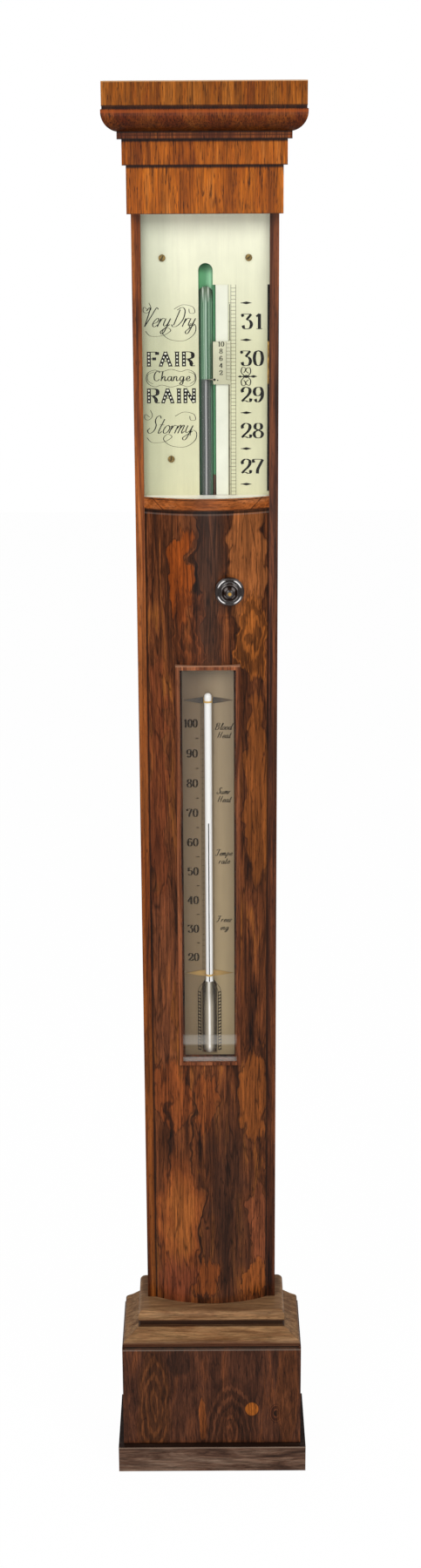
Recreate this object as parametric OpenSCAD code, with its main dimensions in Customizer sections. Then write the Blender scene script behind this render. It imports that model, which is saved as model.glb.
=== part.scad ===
// Bow-front stick barometer with a glazed register, a rack and pinion vernier,
// a recessed thermometer and a cistern hidden in the plinth.
// X runs across the case, the wall is on the +Y side, Z is up.
// The origin is the middle of the hole that takes the wall hook, on the wall plane.

/* [Trunk] */
// Width of the trunk across its two flat stiles
trunk_w = 101.8; // [95:0.1:112]
// Depth of the trunk from the wall to the face of the stiles
trunk_depth = 33; // [32:0.1:40]
// Width of each flat stile beside the bowed front
stile_w = 6.4; // [5:0.1:8]
// How far the bowed front stands proud of the stiles
bow_rise = 11.1; // [10:0.1:13]
// Thickness of the backboard
back_t = 8; // [7:0.1:10]
// Distance from the stile face back to the inner face of the bowed front
panel_back = 6; // [5.6:0.1:6.2]
// Height of the bowed rail under the register
rail_h = 8.6; // [6:0.1:12]
// Height of the register window between the sill and the frieze
window_h = 196; // [180:0.5:200]

/* [Cornice] */
// Height of the lower frieze
frieze_low_h = 32; // [24:0.5:40]
// Projection of the lower frieze from the trunk
frieze_low_out = 2.4; // [2:0.1:4]
// Height of the upper frieze
frieze_up_h = 17; // [12:0.5:24]
// Projection of the upper frieze from the trunk
frieze_up_out = 5; // [4.5:0.1:7]
// Height of the fillet under the ovolo
fillet_h = 5; // [3:0.1:8]
// Projection of the fillet from the trunk
fillet_out = 8; // [7.5:0.1:10]
// Height of the ovolo moulding
ovolo_h = 16.4; // [15:0.1:20]
// Projection of the ovolo from the trunk
ovolo_out = 18.2; // [16:0.1:22]
// Radius of the ovolo's round
ovolo_r = 13; // [12:0.1:14]
// Height of the dark quirk between the ovolo and the cap
quirk_h = 2; // [1:0.1:3]
// Depth of the quirk
quirk_in = 0.8; // [0.4:0.1:1.5]
// Height of the cap board
cap_h = 16; // [12:0.5:22]
// Projection of the cap board from the trunk
cap_out = 17.6; // [15:0.1:22]
// Depth that the frieze laps over the top of the register glass
glass_lap = 10; // [6:0.5:14]

/* [Plinth] */
// Height of the plinth box under its mouldings
plinth_h = 111; // [108:0.5:116]
// Width of the plinth box
plinth_w = 141.6; // [136:0.2:150]
// How far the plinth box stands in front of the stile face
plinth_front_out = 37; // [34:0.1:42]
// Thickness of the plinth boards
plinth_t = 6; // [5:0.1:8]
// Height of the shadow gap over the front board of the plinth
plinth_gap = 1.6; // [0.6:0.1:2.4]
// Height of the skirt
skirt_h = 22.5; // [15:0.5:30]
// Thickness of the skirt
skirt_t = 4.2; // [3:0.1:6]
// Height of the lower base moulding
mould_low_h = 11; // [10:0.1:14]
// How far the lower moulding stands back from the plinth box
mould_low_in = 0.8; // [0.3:0.1:2]
// Height of the upper base moulding
mould_up_h = 13.3; // [12:0.1:16]
// Side projection of the upper moulding from the trunk
mould_up_out = 7.1; // [5.5:0.1:9]
// Front projection of the upper moulding from the bow
mould_up_front = 11; // [9:0.1:13]
// Height of the quirk under the upper moulding's nose
mould_quirk_h = 4.5; // [3:0.1:5]
// Depth of the quirk under the upper moulding's nose
mould_quirk_in = 1.2; // [0.6:0.1:2]
// Height of the underside of the plinth floor over the surface
floor_lift = 3; // [2:0.5:4]
// Thickness of the plinth floor
floor_t = 7; // [6:0.5:8]

/* [Register] */
// Distance from the stile face back to the face of the register plates
plate_set = 6; // [5.8:0.1:6.2]
// Thickness of the register plates
plate_t = 1.5; // [1.2:0.1:1.8]
// Width of the slot in front of the barometer tube
tube_slot_w = 10; // [9.8:0.1:10.4]
// Width of the window beside the tube that the carriage reaches through
side_slot_w = 2; // [1.8:0.1:2.4]
// Width of the pale strip behind the vernier
strip_w = 8.6; // [8:0.1:9]
// Distance that the strip lies behind the face of the plates
strip_sink = 0.4; // [0.2:0.1:0.5]
// Height of the slots over the sill
slot_h = 147.2; // [140:0.1:155]
// Height of the round head of the tube slot over the side slot
slot_head = 14.7; // [8:0.1:16]
// Width of the slot at the right edge of the plate
edge_slot_w = 1.4; // [1.2:0.1:1.8]
// Thickness of the curved register glass
glass_t = 2; // [1.5:0.1:2.4]
// Width of the wooden lip in front of the register glass
lip_w = 1.2; // [0.8:0.1:2]
// Thickness of the pale sill plate
sill_t = 0.8; // [0.6:0.1:1.5]
// Height of the upper plate screws over the sill
screw_up_h = 165.5; // [160:0.5:172]
// Distance of the upper plate screws from the middle
screw_up_x = 30; // [24:0.5:36]
// Height of the lower plate screw over the sill
screw_low_h = 26; // [18:0.5:60]
// Distance of the lower plate screw from the middle
screw_low_x = 25; // [18:0.5:32]
// Radius of the plate screw heads
screw_head_r = 2.4; // [1.8:0.1:2.8]

/* [Barometer] */
// Height of the mercury column in inches, which the trunk's height follows
column_in = 29.42; // [29:0.01:30.5]
// Height of the mercury's end over the sill
column_h = 81.868; // [78:0.001:90]
// Height of the mercury's surface in the cistern over the foot of the plinth
level_h = 118.7; // [116:0.1:120]
// Outer radius of the barometer tube
tube_r = 4.7; // [4.3:0.05:4.75]
// Wall of the barometer tube
tube_wall = 1.7; // [1.2:0.1:2.2]
// Distance from the stile face back to the tube's axis
tube_set = 11.5; // [11.3:0.1:11.8]
// Height of the tube's closed top over the sill
tube_top_h = 145.8; // [130:0.1:150]
// Outer radius of the boxwood cistern
cistern_r = 17; // [15.5:0.1:17.5]
// Wall of the boxwood cistern
cistern_wall = 4; // [3:0.1:5]
// Height of the cistern's glue-lined body
cistern_h = 66; // [64:0.5:68]
// Height of the cistern's turned foot
cistern_foot_h = 46; // [44:0.5:48]
// Height of the cistern's cap over the end of the body
cistern_cap_h = 11; // [8:0.5:12]
// Radius of the portable screw
port_r = 3; // [2.5:0.1:3.5]
// Thickness of the leather under the mercury
leather_t = 1; // [0.8:0.1:1.5]

/* [Vernier drive] */
// Gear module of the rack and pinion
gear_module = 0.8; // [0.8:0.01:0.82]
// Number of teeth on the pinion
pinion_teeth = 12; // [12:1:12]
// Clearance between the flanks of the teeth
tooth_play = 0.1; // [0.08:0.01:0.2]
// Width of the rack and of the pinion, front to back
gear_w = 4; // [3:0.1:4.2]
// Distance of the knob's axis to the right of the middle
knob_x = 16; // [15.7:0.1:16.3]
// Distance of the knob's axis under the register rail
knob_drop = 57.5; // [50:0.1:62]
// Radius of the knob's rim
knob_r = 10.6; // [9:0.1:12]
// Depth of the knob, front to back
knob_depth = 11; // [9:0.5:14]
// Radius of the knob's spindle
spindle_r = 1.6; // [1.3:0.05:1.8]
// Running clearance of the spindle in its bearings
running = 0.05; // [0.03:0.01:0.08]
// Height of the vernier plate
vernier_h = 29.6; // [28:0.1:32]
// Width of the vernier plate
vernier_w = 12.1; // [11:0.1:12.5]
// Thickness of the vernier plate
vernier_t = 1; // [0.8:0.1:1.2]
// Height of the index over the lower edge of the vernier
index_h = 3.2; // [2:0.1:5]
// Length of the index in front of the tube
index_l = 6; // [4:0.1:8]
// Upward travel of the vernier
travel_up = 38; // [20:0.5:40]
// Downward travel of the vernier
travel_down = 75; // [40:0.5:75]

/* [Thermometer] */
// Distance of the thermometer frame's upper edge under the register rail
thermo_drop = 112.8; // [105:0.1:125]
// Outer width of the thermometer frame
frame_w = 47.2; // [45:0.1:50]
// Outer height of the thermometer frame
frame_h = 317.6; // [310:0.1:325]
// Width of the frame's mouldings
frame_m = 3.1; // [2.6:0.1:4]
// How far the frame stands in front of the stile face
frame_out = 13.5; // [13:0.1:14.5]
// Depth of the frame's lip in front of its glass
frame_lip = 1.9; // [1.4:0.1:2.4]
// Thickness of the thermometer glass
pane_t = 1.4; // [1:0.1:1.6]
// Width of the wall behind the frame's glass
lining_t = 1.6; // [1.2:0.1:2]
// How far the thermometer plate's face stands in front of the stile face
scale_out = 1.5; // [1.2:0.1:2]
// Width of the thermometer plate
scale_w = 38; // [34:0.1:40]
// Thickness of the thermometer plate
scale_t = 1.2; // [0.8:0.1:1.5]
// Radius of the thermometer tube
stem_r = 2.8; // [2.2:0.1:3]
// Radius of the thermometer bulb
bulb_r = 5.1; // [4:0.1:5.3]
// Length of the thermometer bulb
bulb_h = 60; // [45:0.5:64]
// Height of the bulb's end over the lower edge of the frame
bulb_base_h = 7.6; // [7:0.1:20]
// Distance of the tube's top under the upper edge of the frame
stem_drop = 22.6; // [18:0.1:30]
// Height of the mercury thread's end over the lower edge of the frame
thread_top_h = 195; // [120:0.5:250]

/* [Hanging] */
// Width of the brass hanging plate
hang_w = 26; // [20:0.5:34]
// Height of the hanging plate
hang_h = 62; // [54:0.5:72]
// Thickness of the hanging plate
hang_t = 2; // [1.5:0.1:3]
// Distance of the hook hole under the top of the trunk
hook_drop = 28; // [24:0.5:34]
// Distance of the hook hole under the top of the hanging plate
hook_edge = 16; // [12:0.5:20]
// Radius of the hook hole
hook_r = 4; // [3:0.1:6]
// Radius of the pocket behind the hook hole
hook_pocket_r = 8; // [7:0.1:11]
// Height of a tube cradle
cradle_h = 20; // [16:0.5:30]
// Height of the lower tube cradle over the foot of the trunk
cradle_low = 105; // [90:1:140]
// Height of the upper tube cradle over the foot of the trunk
cradle_high = 400; // [360:1:420]
// Height of the brass strap over each cradle
strap_h = 8; // [5:0.5:12]

/* [Hidden] */

$fn = 64;
inch = 25.4;
eps = 0.01;
air = 0.3;

// Planes across the case, from front to back
wall_y = 0;
face_y = wall_y - trunk_depth;
bow_y = face_y - bow_rise;
back_y = wall_y - back_t;
panel_y = face_y + panel_back;
plate_y = face_y + plate_set;
bed_y = plate_y + plate_t;
tube_y = face_y + tube_set;
plinth_y = face_y - plinth_front_out;
skirt_y = plinth_y - skirt_t;

// Heights, from the frieze down to the plane that the skirt could stand on.
// The mercury's two ends give the distance between the sill and that plane.
frieze_z = hook_drop - frieze_low_h;
sill_z = frieze_z - window_h;
rail_z = sill_z - rail_h;
column_z = sill_z + column_h;
level_z = column_z - column_in * inch;
ground_z = level_z - level_h;
mould_low_z = ground_z + plinth_h;
mould_up_z = mould_low_z + mould_low_h;
foot_z = mould_up_z + mould_up_h;
panel_h = rail_z - foot_z;
glass_top_z = frieze_z + glass_lap;
frieze_up_z = frieze_z + frieze_low_h;
fillet_z = frieze_up_z + frieze_up_h;
ovolo_z = fillet_z + fillet_h;
cap_z = ovolo_z + ovolo_h;
lift_z = ground_z + floor_lift;
floor_z = lift_z + floor_t;
tube_top_z = sill_z + tube_top_h;
slot_z = sill_z + slot_h;
thermo_z = rail_z - thermo_drop - frame_h;
knob_z = rail_z - knob_drop;

// Half widths
trunk_x = trunk_w / 2;
chord_x = trunk_x - stile_w;
plinth_x = plinth_w / 2;
slot_x = tube_slot_w / 2;
strip_x = slot_x + side_slot_w;
scale_x = strip_x + strip_w;
edge_x = chord_x - edge_slot_w;
bow_r = (chord_x * chord_x + bow_rise * bow_rise) / (2 * bow_rise);
bow_centre_y = bow_y + bow_r;

// Rack and pinion
pitch_r = gear_module * pinion_teeth / 2;
tooth_pitch = PI * gear_module;
pressure = 20;
pinion_add = 0.85 * gear_module;
rack_add = 0.62 * gear_module;
tooth_root = 1.15 * gear_module;
base_r = pitch_r * cos(pressure);
tip_r = pitch_r + pinion_add;
root_r = pitch_r - tooth_root;
rack_x = knob_x - pitch_r;
rack_back = 2.2;
rack_left = rack_x - tooth_root - rack_back;

// Vernier
vernier_z = column_z - index_h;
vernier_x = slot_x;
vernier_back_y = plate_y - air;
carriage_t = 1.2;
carriage_y = bed_y + 0.7;
gear_y = carriage_y + carriage_t;
pocket_y = gear_y + 0.6;
channel_r = tube_r + 0.6;
rack_channel_y = gear_y + gear_w + 0.6;
rack_low_z = knob_z - travel_up - 8;
rack_teeth_z = knob_z + travel_down + 8;

// Knob and bearings
knob_back_y = bow_y - 0.7;
bush_r = spindle_r + 1.6;
bush_flange_t = 1.2;
collar_r = spindle_r + 1;
cock_t = 1.4;
cock_y = gear_y + gear_w + 0.8;
cock_foot_x = knob_x + tip_r + 1.6;
cock_foot_w = 13;
cock_h = 11;
cock_screw_x = cock_foot_x + cock_foot_w - 4;
cock_screw_r = 1.1;

// Cistern and portable screw
cistern_z = floor_z + cistern_foot_h;
cistern_top_z = cistern_z + cistern_h;
cistern_bore = cistern_r - cistern_wall;
tube_end_z = cistern_z + 14;
pad_r = 8.5;
pad_t = 4;
pad_travel = 4.2;
bag_drop = pad_travel + 1;
pad_top_z = cistern_z - bag_drop - leather_t - air;
pad_z = pad_top_z - pad_t;
port_tip_r = 2;
port_low_z = floor_z + 1.5;
port_head_h = 6;
port_head_w = 4;
port_tip_h = 2.5;
port_hole_r = 8;
key_recess_r = port_hole_r - 1;
key_recess_z = floor_z + 9;
foot_cavity_r = pad_r + 2.5;
foot_cavity_z = pad_z - 8;

// Thermometer
frame_y = face_y - frame_out;
pane_y = frame_y + frame_lip;
scale_y = face_y - scale_out;
pocket_floor_y = scale_y + scale_t;
stem_y = scale_y - stem_r - 0.05;
frame_x = frame_w / 2;
lining_x = frame_x - lining_t;
scale_low_z = thermo_z + frame_m + 1;
scale_top_z = thermo_z + frame_h - frame_m - 1;
bulb_z = thermo_z + bulb_base_h;
bulb_top_z = bulb_z + bulb_h;
stem_top_z = thermo_z + frame_h - stem_drop;
thread_z = thermo_z + thread_top_h;
clip_low_z = bulb_top_z + 4.9;
clip_top_z = stem_top_z - 6.2;
cutout_r = bulb_r + 1.2;
capillary_r = 0.45;

// Hanging plate and tube cradles
hang_z = hook_edge - hang_h;
hook_pocket = hang_t + 4.5;
hang_screw_l = 7;
hang_screw_z = [hang_z + 8, hang_z + 24];
cradle_z = [foot_z + cradle_low, foot_z + cradle_high];
cradle_left = 9;
cradle_right = 7.2;
strap_t = 0.6;

// Fasteners
knob_pin_r = 1.3;
plate_screw_l = 9;
shank_r = 1.2;
screw_hole_r = shank_r + 0.1;
screw_head_t = 0.9;

rosewood = [0.36, 0.17, 0.09];
veneer = [0.55, 0.27, 0.10];
pine = [0.75, 0.60, 0.40];
boxwood = [0.80, 0.65, 0.35];
brass = [0.75, 0.58, 0.25];
silvered = [0.86, 0.86, 0.78];
mercury = [0.75, 0.76, 0.78];
clear = [0.75, 0.85, 0.85, 0.4];
ebony = [0.12, 0.07, 0.06];
leather = [0.55, 0.42, 0.28];

// Points of a circular arc in a plane
function arc(cx, cy, r, from, to, n = 12) =
  [for (i = [0 : n]) let (a = from + (to - from) * i / n) [cx + r * cos(a), cy + r * sin(a)]];

// Points of an elliptical arc in a plane
function oval(cx, cy, rx, ry, from, to, n = 10) =
  [for (i = [0 : n]) let (a = from + (to - from) * i / n) [cx + rx * cos(a), cy + ry * sin(a)]];

// A box from its lowest corner to its highest one
module block(low, high) {
  translate(low) cube(high - low);
}

// A cylinder along Z between two heights
module post(x, y, r, z0, z1) {
  translate([x, y, z0]) cylinder(r = r, h = z1 - z0);
}

// A cylinder along Y between two depths
module rod(x, z, r, y0, y1) {
  translate([x, y1, z]) rotate([90, 0, 0]) cylinder(r = r, h = y1 - y0);
}

// An outline turned about the vertical axis at x, y
module turned(x, y) {
  translate([x, y, 0]) rotate_extrude() children();
}

// The bowed front's outline in plan, drawn in by inset, closed at depth y1
module bow_plan(inset, y1) {
  intersection() {
    translate([0, bow_centre_y]) circle(r = bow_r - inset, $fn = 180);
    translate([-chord_x, bow_y]) square([2 * chord_x, y1 - bow_y]);
  }
}

// A board between two heights whose front and side edges follow a moulding.
// Each point of the moulding is its projection beyond the trunk and its height.
module moulded_board(side, front, z0, z1) {
  side_profile = concat([for (p = side) [p[0], p[1]]], [for (i = [len(side) - 1 : -1 : 0])
    [-side[i][0], side[i][1]]]);
  front_profile = concat([for (p = front) [-p[0], p[1]]], [[wall_y, z1], [wall_y, z0]]);
  intersection() {
    translate([0, wall_y, 0]) rotate([90, 0, 0])
      linear_extrude(height = wall_y - skirt_y + 20) polygon(side_profile);
    translate([-plinth_x - 20, 0, 0]) rotate([90, 0, 90])
      linear_extrude(height = plinth_w + 40) polygon(front_profile);
  }
}

// The back of a moulding and its hole for the cistern
module base_passages(z0, z1) {
  block([-chord_x, back_y, z0 - 1], [chord_x, wall_y + 1, z1 + 1]);
  post(0, tube_y, cistern_r + 1, z0 - 1, z1 + 1);
}

// One of the flat boards of the plinth or of its skirt: the front one, mitred at both ends
module mitred_front(x, y, t, z0, z1) {
  translate([0, 0, z0]) linear_extrude(height = z1 - z0)
    polygon([[-x, y], [x, y], [x - t, y + t], [t - x, y + t]]);
}

// The side board that meets it, on the side given by its sign
module mitred_side(sign, x, y, t, z0, z1) {
  translate([0, 0, z0]) linear_extrude(height = z1 - z0)
    polygon([[sign * x, y], [sign * (x - t), y + t], [sign * (x - t), wall_y],
      [sign * x, wall_y]]);
}

module backboard() {
  color(pine) difference() {
    block([-chord_x, back_y, floor_z], [chord_x, wall_y, frieze_up_z]);
    post(0, tube_y, cistern_r + 1, floor_z - 1, foot_z);
    block([-hang_w / 2, wall_y - hang_t, hang_z], [hang_w / 2, wall_y + 1, hang_z + hang_h]);
    rod(0, 0, hook_pocket_r, wall_y - hook_pocket, wall_y + 1);
    for (z = hang_screw_z) rod(0, z, shank_r, wall_y - hang_screw_l, wall_y + 1);
  }
}

// Brass plate let into the backboard, with the hole for the wall hook
module hanging_plate() {
  color(brass) difference() {
    block([-hang_w / 2, wall_y - hang_t, hang_z], [hang_w / 2, wall_y, hang_z + hang_h]);
    rod(0, 0, hook_r, wall_y - hang_t - 1, wall_y + 1);
    for (z = hang_screw_z) rod(0, z, screw_head_r, wall_y - hang_t - 1, wall_y + 1);
  }
}

module hanging_screws() {
  color(brass) for (z = hang_screw_z) {
    rod(0, z, screw_head_r, wall_y - hang_t, wall_y - 0.2);
    rod(0, z, shank_r, wall_y - hang_screw_l, wall_y - hang_t);
  }
}

module stile(sign) {
  color(veneer) block([min(sign * chord_x, sign * trunk_x), face_y, foot_z],
    [max(sign * chord_x, sign * trunk_x), wall_y, frieze_up_z]);
}

module trunk_front() {
  color(rosewood) difference() {
    translate([0, 0, foot_z]) linear_extrude(height = panel_h) bow_plan(0, panel_y);
    block([-frame_x, bow_y - 1, thermo_z], [frame_x, pocket_floor_y, thermo_z + frame_h]);
    post(0, stem_y, cutout_r, bulb_z - 1.5, bulb_top_z + 1);
    rod(knob_x, knob_z, bush_r, bow_y - 1, panel_y + 1);
    cock_screw_holes();
  }
}

module cock_screw_holes() {
  for (s = [-1, 1])
    rod(cock_screw_x, knob_z + s * 3.2, cock_screw_r, panel_y - 5, panel_y + cock_t + 1);
}

module register_rail() {
  color(veneer) difference() {
    translate([0, 0, rail_z]) linear_extrude(height = rail_h) bow_plan(0, panel_y);
    translate([0, 0, sill_z - sill_t]) linear_extrude(height = 2) bow_plan(lip_w, panel_y + 1);
  }
}

module register_sill() {
  color("ivory") translate([0, 0, sill_z - sill_t]) linear_extrude(height = sill_t)
    bow_plan(lip_w, panel_y);
}

module register_glass() {
  color(clear) translate([0, 0, sill_z]) linear_extrude(height = glass_top_z - sill_z)
    difference() {
      bow_plan(lip_w, face_y + glass_t + lip_w);
      bow_plan(lip_w + glass_t, panel_y);
    }
}

// The wooden bed behind the plates, grooved for the tube, the carriage and the rack
module register_bed() {
  color(pine) difference() {
    block([-chord_x, bed_y, rail_z], [chord_x, back_y, frieze_up_z]);
    post(0, tube_y, channel_r, rail_z - 1, slot_z + slot_head - slot_x);
    translate([0, tube_y, slot_z + slot_head - slot_x]) sphere(r = channel_r);
    block([-slot_x, bed_y - 1, rail_z - 1], [slot_x, tube_y, slot_z + slot_head - slot_x]);
    rod(0, slot_z + slot_head - slot_x, slot_x, bed_y - 1, tube_y);
    block([slot_x - eps, bed_y - 1, sill_z], [chord_x + 1, pocket_y, slot_z]);
    block([rack_left - 0.8, bed_y - 1, rail_z - 1],
      [rack_x + rack_add + 0.8, rack_channel_y, slot_z]);
    for (p = plate_screw_places) rod(p[0], p[1], shank_r, bed_y - 1, bed_y + plate_screw_l);
  }
}

plate_screw_places = [[-screw_up_x, sill_z + screw_up_h], [screw_up_x, sill_z + screw_up_h],
  [-screw_low_x, sill_z + screw_low_h]];

module register_plate() {
  color(silvered) difference() {
    block([-chord_x, plate_y, sill_z], [chord_x, bed_y, glass_top_z]);
    block([-slot_x, plate_y - 1, sill_z - 1], [scale_x, bed_y + 1, slot_z]);
    block([-slot_x, plate_y - 1, slot_z - 1], [slot_x, bed_y + 1, slot_z + slot_head - slot_x]);
    rod(0, slot_z + slot_head - slot_x, slot_x, plate_y - 1, bed_y + 1);
    block([edge_x, plate_y - 1, vernier_z - travel_down - 1], [chord_x + 1, bed_y + 1, slot_z]);
    for (p = plate_screw_places) rod(p[0], p[1], screw_hole_r, plate_y - 1, bed_y + 1);
  }
}

module scale_strip() {
  color("white") block([strip_x, plate_y + strip_sink, sill_z], [scale_x, bed_y, slot_z]);
}

module plate_screws() {
  color(brass) for (p = plate_screw_places) {
    rod(p[0], p[1], screw_head_r, plate_y - screw_head_t, plate_y);
    rod(p[0], p[1], shank_r, plate_y - eps, bed_y + plate_screw_l);
  }
}

module frieze_lower_front() {
  x = trunk_x + frieze_low_out;
  y = bow_y - frieze_low_out;
  color(veneer) difference() {
    translate([0, 0, frieze_z]) linear_extrude(height = frieze_low_h)
      polygon([[-x, y], [x, y], [trunk_x, bow_y], [trunk_x, face_y], [chord_x, face_y],
        [chord_x, plate_y], [-chord_x, plate_y], [-chord_x, face_y], [-trunk_x, face_y],
        [-trunk_x, bow_y]]);
    block([-chord_x, bow_y, frieze_z - 1], [chord_x, plate_y + 1, glass_top_z]);
  }
}

module frieze_lower_side(sign) {
  x = trunk_x + frieze_low_out;
  y = bow_y - frieze_low_out;
  color(veneer) translate([0, 0, frieze_z]) linear_extrude(height = frieze_low_h)
    polygon([[sign * x, y], [sign * trunk_x, bow_y], [sign * trunk_x, wall_y],
      [sign * x, wall_y]]);
}

module frieze_upper() {
  out = frieze_up_out;
  color(veneer) block([-trunk_x - out, bow_y - out, frieze_up_z],
    [trunk_x + out, wall_y, fillet_z]);
}

module cornice_fillet() {
  out = fillet_out;
  color(veneer) block([-trunk_x - out, bow_y - out, fillet_z],
    [trunk_x + out, wall_y, ovolo_z]);
}

module cornice_ovolo() {
  rise = ovolo_h - quirk_h - 1.8;
  start = asin(rise / ovolo_r);
  round_pts = arc(ovolo_out - ovolo_r, ovolo_z + rise, ovolo_r, -start, 0, 14);
  top_pts = [[ovolo_out, cap_z - quirk_h], [ovolo_out - quirk_in, cap_z - quirk_h],
    [ovolo_out - quirk_in, cap_z]];
  out = concat(round_pts, top_pts);
  color(veneer) moulded_board([for (p = out) [p[0] + trunk_x, p[1]]],
    [for (p = out) [p[0] - bow_y, p[1]]], ovolo_z, cap_z);
}

module cornice_cap() {
  out = cap_out;
  color(veneer) block([-trunk_x - out, bow_y - out, cap_z],
    [trunk_x + out, wall_y, cap_z + cap_h]);
}

// Nose of the upper base moulding, from the quirk up, as setback and height
function nose_up(reach) = concat(
  [[reach - mould_quirk_in, mould_up_z], [reach - mould_quirk_in, mould_up_z + mould_quirk_h],
    [reach, mould_up_z + mould_quirk_h]],
  oval(reach - 4.5, foot_z - 4, 4.5, 4, 0, 90, 8));

module upper_base_moulding() {
  color(rosewood) difference() {
    moulded_board(nose_up(trunk_x + mould_up_out), nose_up(mould_up_front - bow_y),
      mould_up_z, foot_z);
    base_passages(mould_up_z, foot_z);
  }
}

// Slope and rounded nose of the lower base moulding, with its inner reach
function nose_low(reach, inner) = concat(
  [[reach - 0.6, mould_low_z]],
  oval(reach - 2.6, mould_low_z + 3.2, 2.6, 2.6, -40, 75, 8),
  [[(reach + inner) / 2 + 1, mould_up_z - 4], [inner + 2.5, mould_up_z - 1.3],
    [inner, mould_up_z]]);

module lower_base_moulding() {
  color(rosewood) difference() {
    moulded_board(
      nose_low(plinth_x - mould_low_in, trunk_x + mould_up_out - mould_quirk_in),
      nose_low(mould_low_in - plinth_y - 2 * mould_low_in,
        mould_up_front - bow_y - mould_quirk_in),
      mould_low_z, mould_up_z);
    base_passages(mould_low_z, mould_up_z);
  }
}

module plinth_front() {
  color(rosewood) mitred_front(plinth_x, plinth_y, plinth_t, lift_z, mould_low_z - plinth_gap);
}

module plinth_side(sign) {
  color(rosewood) mitred_side(sign, plinth_x, plinth_y, plinth_t, lift_z, mould_low_z);
}

module plinth_floor() {
  color(pine) difference() {
    block([plinth_t - plinth_x, plinth_y + plinth_t, lift_z],
      [plinth_x - plinth_t, wall_y, floor_z]);
    post(0, tube_y, port_hole_r, lift_z - 1, floor_z + 1);
  }
}

module plinth_blocks() {
  color(pine) for (s = [-1, 1]) {
    x0 = chord_x;
    x1 = plinth_x - plinth_t;
    block([min(s * x0, s * x1), back_y, floor_z], [max(s * x0, s * x1), wall_y, mould_low_z]);
  }
}

module skirt_front() {
  color(rosewood) mitred_front(plinth_x + skirt_t, skirt_y, skirt_t, ground_z,
    ground_z + skirt_h);
}

module skirt_side(sign) {
  color(rosewood) mitred_side(sign, plinth_x + skirt_t, skirt_y, skirt_t, ground_z,
    ground_z + skirt_h);
}

module barometer_tube() {
  bore = tube_r - tube_wall;
  color(clear) turned(0, tube_y) polygon(concat(
    [[bore, tube_end_z], [tube_r, tube_end_z]],
    arc(0, tube_top_z - tube_r, tube_r, 0, 90, 12),
    arc(0, tube_top_z - tube_r, bore, 90, 0, 12)));
}

module mercury_column() {
  r = tube_r - tube_wall - running;
  color(mercury) turned(0, tube_y) polygon(concat(
    [[0, tube_end_z], [r, tube_end_z], [r, column_z - 1.2]],
    oval(0, column_z - 1.2, r, 1.2, 10, 90, 6)));
}

module tube_cradles() {
  color(pine) for (z = cradle_z) difference() {
    block([-cradle_left, tube_y, z], [cradle_right, back_y, z + cradle_h]);
    post(0, tube_y, tube_r + running, z - 1, z + cradle_h + 1);
  }
}

module tube_straps() {
  mid = (cradle_h - strap_h) / 2;
  reach = tube_r + running + strap_t;
  color(brass) for (z = cradle_z) translate([0, tube_y, z + mid]) linear_extrude(height = strap_h)
    difference() {
      union() {
        circle(r = reach);
        translate([-cradle_left, -strap_t]) square([cradle_left + cradle_right, strap_t]);
      }
      circle(r = tube_r + running);
      translate([-reach, 0]) square([2 * reach, reach]);
    }
}

module cistern_cap() {
  top_z = cistern_top_z + cistern_cap_h;
  color(boxwood) turned(0, tube_y) polygon(concat(
    [[tube_r + running, cistern_top_z], [cistern_r, cistern_top_z]],
    oval(cistern_r - 4, top_z - 4, 4, 4, 0, 90, 8),
    [[tube_r + running, top_z]]));
}

module cistern_body() {
  color(boxwood) turned(0, tube_y) difference() {
    translate([cistern_bore, cistern_z]) square([cistern_wall, cistern_h]);
    for (z = [cistern_z + 5, cistern_top_z - 5])
      translate([cistern_r, z]) circle(r = 0.8, $fn = 24);
  }
}

module cistern_mercury() {
  color(mercury) turned(0, tube_y) polygon([[0, cistern_z], [cistern_bore - running, cistern_z],
    [cistern_bore - running, level_z], [tube_r + running, level_z],
    [tube_r + running, tube_end_z - 0.4], [0, tube_end_z - 0.4]]);
}

module cistern_leather() {
  r = foot_cavity_r - 0.4;
  color(leather) turned(0, tube_y) polygon([[0, cistern_z - bag_drop - leather_t],
    [r - 3, cistern_z - bag_drop - leather_t], [r, cistern_z - leather_t],
    [cistern_r, cistern_z - leather_t], [cistern_r, cistern_z], [0, cistern_z]]);
}

module cistern_foot() {
  top_z = cistern_z - leather_t;
  color(boxwood) turned(0, tube_y) polygon([[key_recess_r, floor_z],
    [cistern_r, floor_z], [cistern_r, floor_z + 6], [cistern_r - 2, floor_z + 8],
    [cistern_r - 2, top_z - 8], [cistern_r, top_z - 6], [cistern_r, top_z],
    [foot_cavity_r, top_z], [foot_cavity_r, foot_cavity_z],
    [port_r + running, foot_cavity_z], [port_r + running, key_recess_z],
    [key_recess_r, key_recess_z]]);
}

module portable_screw() {
  color(brass) union() {
    post(0, tube_y, port_r, port_low_z + port_head_h, pad_z);
    post(0, tube_y, port_tip_r, pad_z - eps, pad_z + port_tip_h);
    translate([0, tube_y, port_low_z]) linear_extrude(height = port_head_h + eps)
      square([port_head_w, port_head_w], center = true);
  }
}

module portable_pad() {
  color(boxwood) difference() {
    post(0, tube_y, pad_r, pad_z, pad_top_z);
    post(0, tube_y, port_tip_r + running, pad_z - 1, pad_z + port_tip_h + running);
  }
}

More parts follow.
